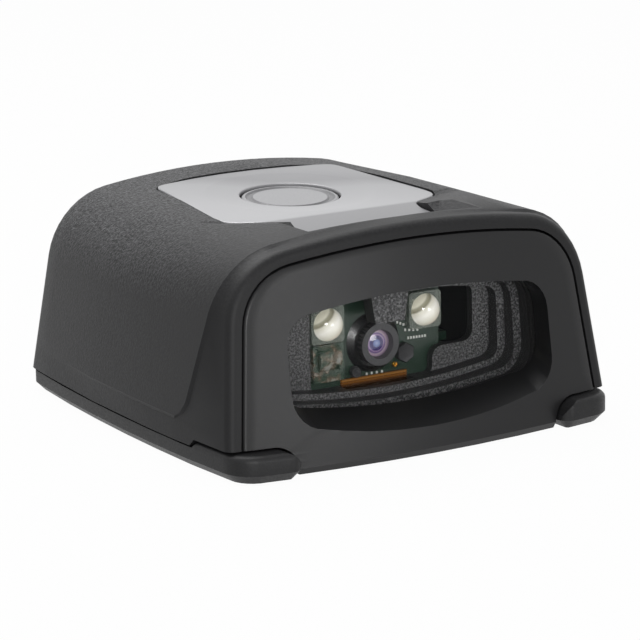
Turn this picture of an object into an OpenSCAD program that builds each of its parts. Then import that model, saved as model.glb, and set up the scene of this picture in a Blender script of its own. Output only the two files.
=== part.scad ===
// Compact fixed-mount barcode reader: a crowned, drafted housing on a cast base,
// with a framed scan window in front, a key in the top label and a cable connector behind.
// Millimetres. Front faces -Y, +Z is up, the origin is under the middle of the base.

/* [Overall size] */
// Width of the housing at its widest point, at the seam with the base
overall_w = 58.6; // [56:0.1:66]
// Length from the front of the feet to the rear edge
overall_l = 62; // [60:0.5:76]
// Height of the crown above the table
overall_h = 29.3; // [28.6:0.1:34]

/* [Housing shell] */
// Lean of the side walls from vertical, in degrees
side_draft = 6.4; // [4:0.1:8]
// Lean of the front face from vertical, in degrees
front_lean = 9; // [5:0.5:11]
// Lean of the rear face from vertical, in degrees
rear_lean = 9.5; // [5:0.5:11]
// Radius of the shoulders between the sides and the top
shoulder_r = 10; // [7:0.25:12]
// Radius of the crowned top, seen from the front
crown_r = 115; // [90:5:200]
// How far the front face stands proud in the middle
front_bow = 2.95; // [1.5:0.05:4]
// How far the rear face stands proud in the middle
rear_bow = 1; // [0.5:0.1:2]
// How far the sides pull in towards the rear
side_bow = 1.3; // [0.5:0.1:2]
// Distance of the widest section ahead of the middle
widest_ahead = 8; // [4:0.5:12]
// Thickness of the side and rear walls
wall_t = 1.8; // [1.4:0.1:2.2]
// Thickness of the roof under the crown
roof_t = 4.2; // [4:0.1:4.6]
// Rounding of the front rim
front_fillet = 1; // [0.5:0.1:1.4]
// Rounding of the rear edge
rear_fillet = 1.6; // [0.8:0.1:2.4]

/* [Raised side panel] */
// How far the panel stands out from the collar
panel_rise = 0.35; // [0.2:0.05:0.6]
// Height of the panel's lower edge above the table
panel_z = 6; // [5.5:0.1:8]
// Panel's front edge at its foot, behind the front of the feet
panel_setback = 14.1; // [12:0.1:18]
// How far the panel's front edge sweeps forward on its way up
panel_sweep = 6; // [3:0.25:7]
// Radius of the panel's lower corners
panel_corner_r = 2.4; // [1.5:0.1:3.5]
// Distance of the panel's rear edge from the rear face
panel_rear_gap = 5.2; // [4:0.1:7]

/* [Base plate] */
// Height of the base at its sides
base_h = 2.85; // [2.6:0.05:3.2]
// Thickness of the base floor
floor_t = 2.2; // [1.8:0.1:2.4]
// Step from the housing's side in to the base's side
base_inset = 0.15; // [0.1:0.05:0.4]
// Bevel round the bottom edge
base_bevel = 1.2; // [0.4:0.1:1.4]
// Radius of the base's rear corners
base_corner_r = 2.6; // [2:0.1:4]
// Height of the front feet
foot_h = 3.7; // [3.4:0.1:4.2]
// Inner end of each foot from the middle plane
foot_x = 19.5; // [17:0.25:21]
// How far the feet stand ahead of the bezel
foot_proud = 2.1; // [1.2:0.1:2.6]
// Length of a foot along the side
foot_l = 12; // [10:0.5:14]

/* [Mounting] */
// Distance between the mounting holes, side to side
mount_dx = 32; // [28:1:36]
// Distance between the mounting holes, front to rear
mount_dy = 20; // [14:1:22]
// Radius of the mounting holes, tapped for an M3 screw
mount_r = 1.25; // [1.2:0.05:1.5]
// Depth of the mounting holes
mount_depth = 4.6; // [4:0.1:4.8]
// Radius of the mounting bosses on the base floor
mount_boss_r = 3; // [2.6:0.1:3.4]

/* [Bezel and window] */
// Gap between the rim of the housing and the bezel
bezel_gap = 0.25; // [0.15:0.05:0.4]
// Thickness of the bezel in the middle
bezel_t = 4.6; // [4.2:0.1:5]
// Width of the bezel beside its opening
frame_side_w = 9.75; // [9.3:0.05:12]
// Lowest point of the opening above the table
opening_bottom = 3.75; // [3.5:0.05:5]
// Height of the opening in the middle
opening_h = 17.2; // [15:0.1:18]
// Radius of the opening's corners
opening_corner_r = 4; // [3:0.25:5]
// Radius of the opening's arched top and bottom edges
opening_arch_r = 100; // [80:5:200]
// How far the sill climbs towards the window
sill_rise = 2.3; // [1.5:0.1:2.6]
// Rise of the light tunnel's floor above the opening's lower edge
tunnel_rise = 1.2; // [1:0.1:2.3]
// Thickness of the window pane
window_t = 1.2; // [0.8:0.1:1.6]
// How far the pane reaches past the opening, all round
window_lap = 1.1; // [0.8:0.1:1.4]
// Thickness of the window gasket
gasket_t = 0.6; // [0.4:0.1:0.8]
// Width of the window gasket's frame
gasket_w = 0.9; // [0.7:0.1:1]

/* [Light baffle] */
// How far each ridge of the tunnel steps in
ridge_step = 1.2; // [0.9:0.05:1.3]
// Thickness of the tunnel's wall
baffle_wall = 1.1; // [0.8:0.1:1.3]
// Thickness of the baffle's back plate
baffle_back_t = 1.2; // [1:0.1:1.6]

/* [Imaging engine] */
// Front of the engine's board behind the front of the feet
engine_setback = 15.4; // [15:0.1:16.4]
// Distance between the two illumination domes
dome_pitch = 14.8; // [14:0.1:15.6]
// Height of the domes above the table
dome_z = 15.15; // [14.8:0.05:15.4]
// Radius of a dome
dome_r = 2.2; // [1.8:0.05:2.3]
// Side of a dome's square frame
dome_frame = 4.9; // [4.6:0.1:5.2]
// Height of the camera lens above the table
lens_z = 11.7; // [11.5:0.05:12]
// Radius of the lens barrel's clamping flange
lens_flange_r = 4; // [3.6:0.05:4.2]
// Radius of the lens barrel's front ring
lens_face_r = 2.8; // [2.6:0.05:2.9]
// Radius of the lens barrel
lens_r = 2.2; // [2:0.05:2.3]
// Radius of the lens glass
glass_r = 1.75; // [1.3:0.05:1.8]
// Width of the engine
engine_w = 20.4; // [20:0.1:21.5]
// Height of the engine
engine_h = 12.2; // [12:0.1:12.6]
// Depth of the engine block behind its front board
engine_d = 9.5; // [9:0.1:11]
// Thickness of the engine's boards
engine_board_t = 0.8; // [0.6:0.1:1]
// Width of the flat flex
flex_w = 10; // [8:0.5:11]
// Thickness of the flat flex
flex_t = 0.3; // [0.2:0.05:0.4]

/* [Top label and key] */
// Depth of the label's flat below the crown, at its middle
label_drop = 1.2; // [1.1:0.05:1.4]
// Fall of the label towards the front, in degrees
label_fall = 2.5; // [1.5:0.25:3]
// Thickness of the label plate
label_t = 1; // [0.8:0.05:1.2]
// Half width of the label at its rear edge
label_rear_hw = 14; // [12:0.25:15]
// Half width of the label at its front corners
label_front_hw = 16.6; // [15:0.25:17.5]
// Half width of the label's front tab
label_tab_hw = 10.2; // [9:0.25:11]
// Label's rear corners behind the middle of the part
label_rear_y = 16.6; // [15:0.1:17.5]
// Label's front corners ahead of the middle of the part
label_front_y = 6.4; // [5:0.25:7]
// Front edge of the tab ahead of the middle of the part
label_tab_y = 17.5; // [16.5:0.1:18.5]
// How far the label's rear edge bows out between its corners
label_bow = 2.2; // [1:0.1:2.5]
// Length of the tab's bent-down strip
strip_l = 5.5; // [4.5:0.1:6]
// Slope of the bent-down strip, in degrees
strip_fall = 2; // [1:0.25:4]
// Depth of the finger dish in the label
dish_depth = 0.6; // [0.3:0.05:0.7]
// Radius of the finger groove ahead of the label
groove_r = 7.4; // [6.5:0.1:8.5]
// Depth of the groove's floor below the crown
groove_drop = 2.15; // [1.7:0.05:2.3]
// Groove's axis ahead of the middle of the part
groove_y = 17; // [16.5:0.1:17.5]
// Half length of the groove's floor
groove_hl = 10.6; // [9.5:0.1:11.2]
// Slope of the groove's ends, in degrees
groove_end = 35; // [30:1:45]
// Gap between the label and its recess
label_gap = 0.2; // [0.1:0.05:0.3]
// Key's centre behind the middle of the part
key_y = 4.6; // [3.5:0.1:5.5]
// Radius of the key
key_r = 6.5; // [6:0.1:6.8]
// Gap round the key
key_gap = 0.3; // [0.25:0.05:0.4]
// Thickness of the key's cap
key_t = 1.1; // [0.9:0.1:1.3]
// Travel of the key
key_travel = 0.4; // [0.25:0.05:0.5]
// Radius of the key's stem
key_stem_r = 1.6; // [1.4:0.1:1.9]
// Length of the key's stem below its cap
key_stem_l = 2.6; // [2.5:0.1:3.2]

/* [Boards] */
// Thickness of the circuit boards
board_t = 1.2; // [1:0.1:1.6]
// Height of the decode board's underside above the base floor
board_lift = 4.4; // [4.3:0.1:5]
// Width of the decode board
board_w = 40; // [38:0.5:41]
// Width of the switch board
switch_board_w = 24; // [22:0.5:26]
// Length of the switch board
switch_board_l = 10; // [9:0.5:12]
// Side of the key switch's body
switch_w = 6; // [5:0.25:6.5]
// Height of the key switch's body
switch_h = 2.5; // [2:0.1:3]

/* [Cable connector] */
// Height of the connector's centre above the decode board
connector_lift = 4.9; // [4.7:0.1:5.4]
// Width of the connector's metal flange
flange_w = 30.8; // [30:0.1:32]
// Height of the connector's metal flange
flange_h = 12.4; // [11.5:0.1:12.6]
// Thickness of the connector's metal
flange_t = 0.8; // [0.6:0.1:1]
// Distance from the mating shell to the ends of the flange
shell_side = 6.95; // [6.4:0.05:7.4]
// Height of the mating shell
shell_h = 8.3; // [8:0.1:8.6]
// How far the shell stands ahead of its flange
shell_l = 5.2; // [4.6:0.1:5.6]
// Distance from the jack posts to the ends of the flange
ear_w = 2.9; // [2.8:0.1:3.4]
// Depth of the connector's pocket, from the rear edge of the housing
pocket_depth = 6.4; // [6.2:0.1:7]

/* [Fasteners] */
// Radius of the housing screws
screw_r = 0.95; // [0.8:0.05:1.1]
// Radius of the housing screws' heads
screw_head_r = 1.9; // [1.7:0.1:2.1]
// Radius of the small board screws
small_screw_r = 0.7; // [0.6:0.05:0.8]

/* [Fits] */
// Clearance of a screw in its hole
screw_gap = 0.1; // [0.05:0.01:0.2]
// Clearance between pieces that drop into one another
seat_gap = 0.15; // [0.1:0.01:0.2]
// Seam between the housing and the base
seam_gap = 0.25; // [0.15:0.01:0.3]

/* [Hidden] */

// Rounding of drawn circles
$fn = 64;
// Overrun of a cut past the face it opens
over = 1;

half_w = overall_w/2;
opening_w = overall_w - 2*frame_side_w;
half_l = overall_l/2;
widest_y = -widest_ahead;
// Radius of a foot's inner end, seen from above
foot_end_r = 1.6;
seam_z = base_h + seam_gap;
// Front face of the housing at the seam, in the middle plane
front_edge = -half_l + foot_proud - front_bow*pow((foot_x + foot_end_r)/half_w, 2);
rear_edge = half_l;

// Facets of the lofted shell
shoulder_steps = 9;
crown_steps = 6;
fillet_steps = 4;
bottom_steps = 8;
// Height of the step at the edge of the raised panel
panel_ramp = 0.5;

function front_y(x, z) = front_edge + tan(front_lean)*(z - seam_z) + front_bow*pow(x/half_w, 2);
function rear_y(x, z) = rear_edge - tan(rear_lean)*(z - seam_z) - rear_bow*pow(x/half_w, 2);
function half_width(y) = half_w - side_bow*pow((y - widest_y)/half_l, 2);

// Section of the shell: a drafted side, a shoulder arc and a crown arc that meet tangentially.
// corner_x is found by repeated substitution, because the shoulder touches both neighbours.
function corner_z(h, r, xc) = h - crown_r + sqrt(pow(crown_r - r, 2) - xc*xc);
function corner_x(w, h, r, xc, turns = 8) =
    turns == 0 ? xc
    : corner_x(w, h, r, w - tan(side_draft)*(corner_z(h, r, xc) - seam_z) - r/cos(side_draft), turns - 1);

// Half section as [x, z, sideways part of the outward normal], from the seam to the crown
function half_section(w, h, r, rise, lows) =
    let (
        xc = corner_x(w, h, r, w - r),
        zc = corner_z(h, r, xc),
        top_angle = atan2(zc - h + crown_r, xc),
        low_steps = concat(lows, [panel_z - panel_ramp/2, panel_z + panel_ramp/2,
            panel_z + panel_corner_r*0.4, panel_z + panel_corner_r]),
        side = [for (z = low_steps) [w - tan(side_draft)*(z - seam_z) + (z > panel_z ? rise : 0), z]],
        shoulder = [for (i = [0:shoulder_steps])
            let (a = side_draft + (top_angle - side_draft)*i/shoulder_steps)
            [xc + r*cos(a) + rise*cos(a), zc + r*sin(a) + rise*sin(a)]],
        crown = [for (i = [1:crown_steps])
            let (a = top_angle + (90 - top_angle)*i/crown_steps, left = rise*(1 - i/crown_steps))
            [(crown_r + left)*cos(a), h - crown_r + (crown_r + left)*sin(a)]]
    )
    concat(side, shoulder, crown);

// Full section, from the right seam over the crown to the left seam and back along the bottom
function section(w, h, r, rise, lows) =
    let (half = half_section(w, h, r, rise, lows), last = len(half) - 1)
    concat(half, [for (i = [1:last]) [-half[last - i][0], half[last - i][1]]],
        [for (i = [1:bottom_steps - 1]) [half[0][0]*(2*i/bottom_steps - 1), half[0][1]]]);

// Front and rear edges of the raised panel, with rounded lower corners
function corner_sweep(d) =
    d >= panel_corner_r ? 0 :
    panel_corner_r - sqrt(max(0, pow(panel_corner_r, 2) - pow(panel_corner_r - d, 2)));
function panel_front_y(z) =
    let (u = max(0, min(1, (z - panel_z)/(overall_h - panel_z))))
    -half_l + panel_setback - panel_sweep*(1 - pow(1 - u, 2)) + corner_sweep(max(0, z - panel_z));
function panel_rear_y(x, z) = rear_y(x, z) - panel_rear_gap - corner_sweep(max(0, z - panel_z));

// One ring of the loft. along says which edge the ring follows, shift moves it rearwards.
function ring_y(along, shift, x, z) =
    along == "front" ? front_y(x, z) + shift
    : along == "panel_front" ? panel_front_y(z) + shift
    : along == "middle" ? shift - tan(rear_lean)*(z - seam_z)*shift/half_l
    : along == "panel_rear" ? panel_rear_y(x, z) + shift
    : rear_y(x, z) + shift;
function ring(along, shift, inset, rise, lows = [seam_z], roof_inset = 0) =
    let (w = half_width(ring_y(along, shift, 0, seam_z)) - inset)
    [for (p = section(w, overall_h - inset - roof_inset, max(1, shoulder_r - inset), rise, lows))
        [p[0], ring_y(along, shift, p[0], p[1]), p[1]]];

// Solid between rings of equal length, closed by fans to a middle point or by flat ends
module loft(rings, flat_ends = false) {
    n = len(rings[0]);
    last = len(rings) - 1;
    middle = function (ring) [for (k = [0:2]) let (s = [for (p = ring) p[k]]) (min(s) + max(s))/2];
    points = concat([for (ring = rings) each ring], [middle(rings[0]), middle(rings[last])]);
    walls = [for (j = [0:last - 1], i = [0:n - 1], half = [0, 1])
        let (a = j*n + i, b = j*n + (i + 1)%n)
        half == 0 ? [a, b, a + n] : [b, b + n, a + n]];
    fans = [for (i = [0:n - 1], end = [0, 1])
        let (k = (i + 1)%n)
        end == 0 ? [k, i, len(points) - 2] : [last*n + i, last*n + k, len(points) - 1]];
    flats = [[for (i = [n - 1:-1:0]) i], [for (i = [0:n - 1]) last*n + i]];
    used = flat_ends ? [for (i = [0:len(points) - 3]) points[i]] : points;
    polyhedron(points = used, faces = concat(walls, flat_ends ? flats : fans), convexity = 8);
}

// Shrunk copy of a ring that keeps to the rear face, so that the face stays gently bowed
function rear_ring(share) =
    let (edge = ring("rear", 0, rear_fillet, 0), mid_z = (seam_z + overall_h)/2)
    [for (p = edge) let (x = p[0]*share, z = mid_z + (p[2] - mid_z)*share) [x, rear_y(x, z), z]];

module housing_form() {
    front_rings = [for (i = [0:fillet_steps]) let (a = 90*i/fillet_steps)
        ring("front", front_fillet*(1 - cos(a)), front_fillet*(1 - sin(a)), 0)];
    side_rings = [
        ring("panel_front", -panel_ramp/2, 0, 0),
        ring("panel_front", panel_ramp/2, 0, panel_rise),
        ring("middle", -half_l/4, 0, panel_rise),
        ring("middle", half_l/4, 0, panel_rise),
        ring("panel_rear", panel_ramp/2, 0, 0)];
    rear_rings = [for (i = [fillet_steps:-1:0]) let (a = 90*i/fillet_steps)
        ring("rear", -rear_fillet*(1 - cos(a)), rear_fillet*(1 - sin(a)), 0)];
    loft(concat(front_rings, side_rings, rear_rings, [rear_ring(0.7), rear_ring(0.35)]));
}

// Hollow of the housing, open in front and below
module housing_hollow() {
    roof_drop = roof_t - wall_t;
    low = [seam_z - over];
    loft([
        ring("front", -over, wall_t, 0, low, 0),
        ring("front", bezel_t + seat_gap, wall_t, 0, low, 0),
        ring("front", bezel_t + 2*wall_t, wall_t, 0, low, roof_drop),
        ring("middle", 0, wall_t, 0, low, roof_drop),
        ring("rear", -wall_t, wall_t, 0, low, roof_drop)]);
}

// Outline of a rounded rectangle, and one with arched top and bottom edges
corner_steps = 6;
function rounded_points(w, h, r) =
    [for (k = [0:3], i = [0:corner_steps])
        let (a = 90*k + 90*i/corner_steps, sx = k == 0 || k == 3 ? 1 : -1, sy = k < 2 ? 1 : -1)
        [sx*(w/2 - r) + r*cos(a), sy*(h/2 - r) + r*sin(a)]];
module rounded_plate(w, h, r, t) {
    linear_extrude(t) polygon(rounded_points(w, h, r));
}
arch_steps = 12;
function opening_ring(grow, low_rise) =
    let (
        w = opening_w/2 + grow,
        r = opening_corner_r + grow,
        top = opening_bottom + opening_h + grow,
        low = opening_bottom - grow + low_rise,
        edge_x = w - r,
        top_at = function (x) top - x*x/(2*opening_arch_r),
        low_at = function (x) low + x*x/(2*opening_arch_r)
    )
    concat(
        [for (i = [0:corner_steps]) let (a = 90*i/corner_steps)
            [edge_x + r*cos(a), top_at(edge_x) - r + r*sin(a)]],
        [for (i = [1:arch_steps - 1]) let (x = edge_x*(1 - 2*i/arch_steps)) [x, top_at(x)]],
        [for (i = [0:corner_steps]) let (a = 90 + 90*i/corner_steps)
            [-edge_x + r*cos(a), top_at(edge_x) - r + r*sin(a)]],
        [for (i = [0:corner_steps]) let (a = 180 + 90*i/corner_steps)
            [-edge_x + r*cos(a), low_at(edge_x) + r + r*sin(a)]],
        [for (i = [1:arch_steps - 1]) let (x = -edge_x*(1 - 2*i/arch_steps)) [x, low_at(x)]],
        [for (i = [0:corner_steps]) let (a = 270 + 90*i/corner_steps)
            [edge_x + r*cos(a), low_at(edge_x) + r + r*sin(a)]]);

// Leaning plane behind the bezel, on which the window and the baffle seat
bezel_back = front_edge + bezel_t;
function back_y(z) = bezel_back + tan(front_lean)*(z - seam_z);
// Slab parallel to the front face: z outline in the leaning plane, from depth a to depth b
module leaning_slab(outline, a, b) {
    at = function (d) [for (p = outline) [p[0], back_y(p[1]) + d, p[1]]];
    loft([at(a), at(b)]);
}

// Base outline from the rear middle round the right side to the front, drawn clockwise from above
foot_corner_r = 4.4;
side_steps = 6;
edge_steps = 3;
// Front edge of the base between the feet, just behind the bezel
base_front = bezel_back + seat_gap;
function foot_front(x) = front_y(x, seam_z) - foot_proud;
function base_half(inset) =
    let (
        rc = base_corner_r,
        rear_x = half_width(rear_edge - rc) - base_inset - rc,
        rear_c = rear_y(rear_x, seam_z) - base_inset - rc,
        front_x = half_width(foot_front(half_w)) - base_inset - foot_corner_r,
        front_c = foot_front(front_x) + foot_corner_r,
        end_x = foot_x + foot_end_r,
        end_c = foot_front(end_x) + foot_end_r
    )
    concat(
        [for (i = [0:edge_steps - 1]) let (x = rear_x*i/edge_steps)
            [x, rear_y(x, seam_z) - base_inset - inset]],
        [for (i = [0:corner_steps]) let (a = 90 - 90*i/corner_steps)
            [rear_x + (rc - inset)*cos(a), rear_c + (rc - inset)*sin(a)]],
        [for (i = [1:side_steps - 1]) let (y = rear_c + (front_c - rear_c)*i/side_steps)
            [half_width(y) - base_inset - inset, y]],
        [for (i = [0:corner_steps]) let (a = -90*i/corner_steps)
            [front_x + (foot_corner_r - inset)*cos(a), front_c + (foot_corner_r - inset)*sin(a)]],
        [for (i = [1:edge_steps - 1]) let (x = front_x + (end_x - front_x)*i/edge_steps)
            [x, foot_front(x) + inset]],
        [for (i = [0:corner_steps]) let (a = 270 - 90*i/corner_steps)
            [end_x + (foot_end_r - inset)*cos(a), end_c + (foot_end_r - inset)*sin(a)]],
        [[foot_x + inset, base_front + inset]]);
function base_outline(inset) =
    let (right = base_half(inset), last = len(right) - 1)
    concat(right, [for (i = [0:last - 1]) [-right[last - i][0], right[last - i][1]]]);
function at_height(outline, z) = [for (p = outline) [p[0], p[1], z]];

// Screw bosses of the housing, in the four corners
boss_r = 2.4;
boss_clear = 0.6;
boss_sink = 0.8;
boss_top = seam_z + 15;
boss_front_y = -half_l + foot_l + boss_r + boss_clear;
boss_rear_y = rear_edge - pocket_depth - boss_r;
// Each boss runs into the drafted side wall at its upper end
function boss_x(y) = half_width(y) - wall_t - tan(side_draft)*(boss_top - seam_z) - boss_r + boss_sink;
boss_places = [for (side = [-1, 1], y = [boss_front_y, boss_rear_y]) [side*boss_x(y), y]];
rib_t = 1.2;
screw_reach = 8;
screw_room = 0.6;
head_h = 1.1;

// Decode board and its standoffs
board_z = floor_t + board_lift;
board_top = board_z + board_t;
engine_front = -half_l + engine_setback;
engine_rear = engine_front + engine_board_t + engine_d + engine_board_t;
flex_room = 1.9;
board_front = engine_rear + flex_room;
pocket_y = rear_edge - pocket_depth;
pad_t = 1.8;
board_rear = pocket_y - pad_t - 2*seat_gap;
standoff_r = 2;
standoff_in = 3;
standoff_places = [for (x = [-1, 1], y = [board_front + standoff_in, board_rear - standoff_in])
    [x*(board_w/2 - standoff_in), y]];
mount_places = [for (x = [-1, 1], y = [-1, 1]) [x*mount_dx/2, y*mount_dy/2]];
mount_roof = 1.2;
rim_w = 3;
floor_hw = half_width(rear_edge) - base_inset - rim_w;
floor_front = -half_l + foot_l;
floor_rear = rear_edge - rear_bow - base_inset - rim_w;
floor_corner_r = 2;
// Two rests under the engine, either side of the flex
rest_w = 3.2;
rest_l = 6;
rest_x = engine_w/2 - rest_w/2 - boss_clear;
seal_in = 0.7;
seal_w = 0.7;
seal_depth = 0.5;

// Rounding of a foot's top edges, and of its inner end seen from the front
foot_round = 0.9;
toe_r = 3.1;
foot_gap = 0.3;
// What lies outside the rounded inner end of the right foot, or of the space around it
module toe_corner(gap) {
    r = toe_r + gap;
    translate([foot_x + toe_r, -half_l - over, foot_h - toe_r]) difference() {
        translate([-r - over, 0, 0]) cube([r + over, base_front + half_l + over, r + over]);
        translate([0, -over, 0]) rotate([-90, 0, 0]) cylinder(r = r, h = overall_l);
    }
}

// Space above the base's rim: behind the ramp of each foot, and between the feet
module above_rim() {
    ramp = foot_h - base_h;
    rear = -half_l + foot_l;
    profile = [[rear, base_h], [half_l + over, base_h], [half_l + over, foot_h + over],
        [rear - ramp - over, foot_h + over]];
    translate([-half_w - over, 0, 0]) rotate([90, 0, 90]) linear_extrude(overall_w + 2*over) polygon(profile);
    translate([-foot_x - foot_end_r, base_front - over, base_h])
        cube([2*(foot_x + foot_end_r), overall_l, foot_h]);
}

// Cast base: bevelled tray with raised front feet, board standoffs and tapped mounting bosses
sole_cut = 0.2;
base_rings = concat(
    [at_height(base_outline(base_bevel + sole_cut), -sole_cut), at_height(base_outline(0), base_bevel)],
    [for (i = [0:fillet_steps]) let (a = 90*i/fillet_steps)
        at_height(base_outline(foot_round*(1 - cos(a))), foot_h - foot_round*(1 - sin(a)))]);
module base_plate() {
    color([0.17, 0.17, 0.18]) difference() {
        union() {
            difference() {
                loft(base_rings, true);
                translate([-overall_w, -overall_l, -overall_h]) cube([2*overall_w, 2*overall_l, overall_h]);
                above_rim();
                for (side = [0, 1]) mirror([side, 0, 0]) toe_corner(0);
                translate([0, (floor_front + floor_rear)/2, floor_t])
                    rounded_plate(2*floor_hw, floor_rear - floor_front, floor_corner_r, base_h);
            }
            for (p = boss_places) translate([p[0], p[1], floor_t/2])
                cylinder(r = boss_r, h = base_h - floor_t/2);
            for (p = standoff_places) translate([p[0], p[1], floor_t/2])
                cylinder(r = standoff_r, h = board_z - floor_t/2);
            for (p = mount_places) translate([p[0], p[1], floor_t/2])
                cylinder(r = mount_boss_r, h = mount_depth + mount_roof - floor_t/2);
            for (x = [-rest_x, rest_x]) translate([x - rest_w/2, engine_back - 1.5*rest_l, floor_t/2])
                cube([rest_w, rest_l, engine_low - floor_t/2]);
        }
        for (p = boss_places) translate([p[0], p[1], -over]) {
            cylinder(r = screw_r + screw_gap, h = base_h + 2*over);
            cylinder(r = screw_head_r + screw_gap, h = over + head_h + seat_gap);
        }
        for (p = standoff_places) translate([p[0], p[1], floor_t])
            cylinder(r = small_screw_r + screw_gap/2, h = board_lift + over);
        for (p = mount_places) translate([p[0], p[1], -over]) cylinder(r = mount_r, h = mount_depth + over);
        seal_run(seal_in - screw_gap/2, seal_w + screw_gap, base_h - seal_depth, seal_depth + over);
    }
}

// Path of the cord seal, along both sides and the rear
module seal_run(inset, width, z, h) {
    intersection() {
        translate([0, 0, z]) linear_extrude(h) difference() {
            polygon(base_outline(inset));
            polygon(base_outline(inset + width));
        }
        translate([-half_w, boss_front_y, 0]) cube([overall_w, overall_l, overall_h]);
    }
}

// Cord seal of soft rubber, lying in the groove of the base under the housing's edge
module base_seal() {
    color([0.1, 0.1, 0.1])
        seal_run(seal_in, seal_w, base_h - seal_depth, seal_depth + seam_gap);
}

// Label geometry: a flat that falls to the front, with a finger dish and a bent front strip
key_pocket_gap = 0.1;
label_z = overall_h - label_drop;
groove_z = overall_h - groove_drop;
function label_top(y) = label_z + tan(label_fall)*y;
bend_y = -label_tab_y + strip_l;
label_corner_r = 1.4;
label_front_r = 2.6;
label_shoulder_r = 1.5;
label_shoulder_y = -8.8;
tab_flare = 0.9;
// Corners as [x, y, rounding], clockwise from the middle of the bowed rear edge
rear_edge_half = [for (share = [1/6, 3/6, 5/6])
    [label_rear_hw*share, label_rear_y + label_bow*(1 - share*share), 0]];
label_half = concat(rear_edge_half, [
    [label_rear_hw, label_rear_y, label_corner_r],
    [label_front_hw, -label_front_y, label_front_r],
    [label_tab_hw + tab_flare, label_shoulder_y, label_shoulder_r],
    [label_tab_hw, bend_y, 0],
    [label_tab_hw, -label_tab_y, label_corner_r]]);
function both_sides(half) =
    let (last = len(half) - 1)
    concat(half, [for (i = [last:-1:0]) [-half[i][0], half[i][1], half[i][2]]]);
// Polygon whose corners are blended by a quadratic curve that starts a set distance before them
function blended(corners, steps = 4) =
    [for (i = [0:len(corners) - 1], k = [0:corners[i][2] > 0 ? steps : 0])
        let (
            n = len(corners),
            flat = function (j) [corners[j%n][0], corners[j%n][1]],
            c = flat(i),
            a = flat(i + n - 1) - c,
            b = flat(i + 1) - c,
            t = k/steps,
            p = c + a*corners[i][2]/norm(a),
            q = c + b*corners[i][2]/norm(b)
        )
        p*pow(1 - t, 2) + c*2*t*(1 - t) + q*t*t];
// Unit vector to the left of a direction
function turned(d) = [-d[1], d[0]]/norm(d);
// Outline moved outwards along its normals
function widened(points, d) =
    [for (i = [0:len(points) - 1])
        let (
            n = len(points),
            m = turned(points[i] - points[(i + n - 1)%n]),
            k = turned(points[(i + 1)%n] - points[i]),
            mid = (m + k)/2
        )
        points[i] + d*mid/(mid*mid)];
label_points = blended(both_sides(label_half));
function strip_top(y) = label_top(bend_y) + tan(label_fall + strip_fall)*(y - bend_y);
// Prism under the label's outline between two depths below its top, following flat and strip
module label_prism(grow, from, to) {
    ends = [[half_l, label_top(half_l)], [bend_y, label_top(bend_y)], [-half_l, strip_top(-half_l)]];
    intersection() {
        linear_extrude(2*overall_h) polygon(grow == 0 ? label_points : widened(label_points, grow));
        rotate([90, 0, 90]) linear_extrude(overall_w, center = true)
            polygon(concat([for (p = ends) p - [0, from]], [for (i = [2:-1:0]) ends[i] - [0, to]]));
    }
}
key_sink = 0.05;
key_top = label_top(key_y) - dish_depth - key_sink;
key_low = key_top - key_t;
key_floor = key_low - key_travel - key_pocket_gap;
roof_under = overall_h - roof_t;
stem_low = key_low - key_stem_l;
stem_gap = 0.3;
// Leans children with the label, about the middle of the key's face
module at_key() {
    translate([0, key_y, key_top]) rotate([label_fall, 0, 0]) translate([0, 0, -key_top]) children();
}
bead_h = 0.5;
bead_out = 0.5;

// Finger groove across the front of the top, with sloped ends
module groove() {
    rise = groove_r;
    top_hl = groove_hl + rise/tan(groove_end);
    intersection() {
        translate([0, -groove_y, groove_z + groove_r]) rotate([0, 90, 0])
            cylinder(r = groove_r, h = overall_w, center = true, $fn = 96);
        translate([0, 0, groove_z]) rotate([90, 0, 0]) linear_extrude(overall_l, center = true)
            polygon([[-groove_hl, 0], [groove_hl, 0], [top_hl, rise], [-top_hl, rise]]);
    }
}

// Flat relief from each slanted front edge of the label up to the crown
relief_slope = 9.5;
relief_l = 15;
relief_lap = 0.3;
module label_relief() {
    corner = [label_tab_hw + tab_flare, label_shoulder_y];
    run = [label_front_hw, -label_front_y] - corner;
    translate([corner[0], corner[1], label_top(corner[1])]) rotate([0, 0, atan2(run[1], run[0])])
        rotate([-relief_slope, 0, 0]) translate([-relief_l*0.4, relief_lap - relief_l, 0])
            cube([relief_l, relief_l, roof_t]);
}

// Switch board hung under the roof
switch_lift = 0.6;
switch_board_top = stem_low - switch_lift - switch_h;
switch_board_z = switch_board_top - board_t;
hanger_r = 2.2;
hanger_root = 0.5;
hanger_in = 0.4;
hanger_x = switch_board_w/2 - hanger_r - hanger_in;
hanger_screw_l = 2.5;

// Rear connector place
connector_z = board_top + connector_lift;
jack_pitch = flange_w - 2*ear_w;
shell_w = flange_w - 2*shell_side;
pocket_side = 1.2;
pocket_w = flange_w + 2*pocket_side;
pocket_h = flange_h + 2;
pocket_r = 3;
body_l = 9;
body_y = pocket_y - body_l;
body_w = shell_w + 2.8;
body_low = board_top;
body_h = connector_lift + shell_h/2 + 0.4;
stud_r = 1.35;

module facing_rear(y) { translate([0, y, connector_z]) rotate([-90, 0, 0]) children(); }

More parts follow.
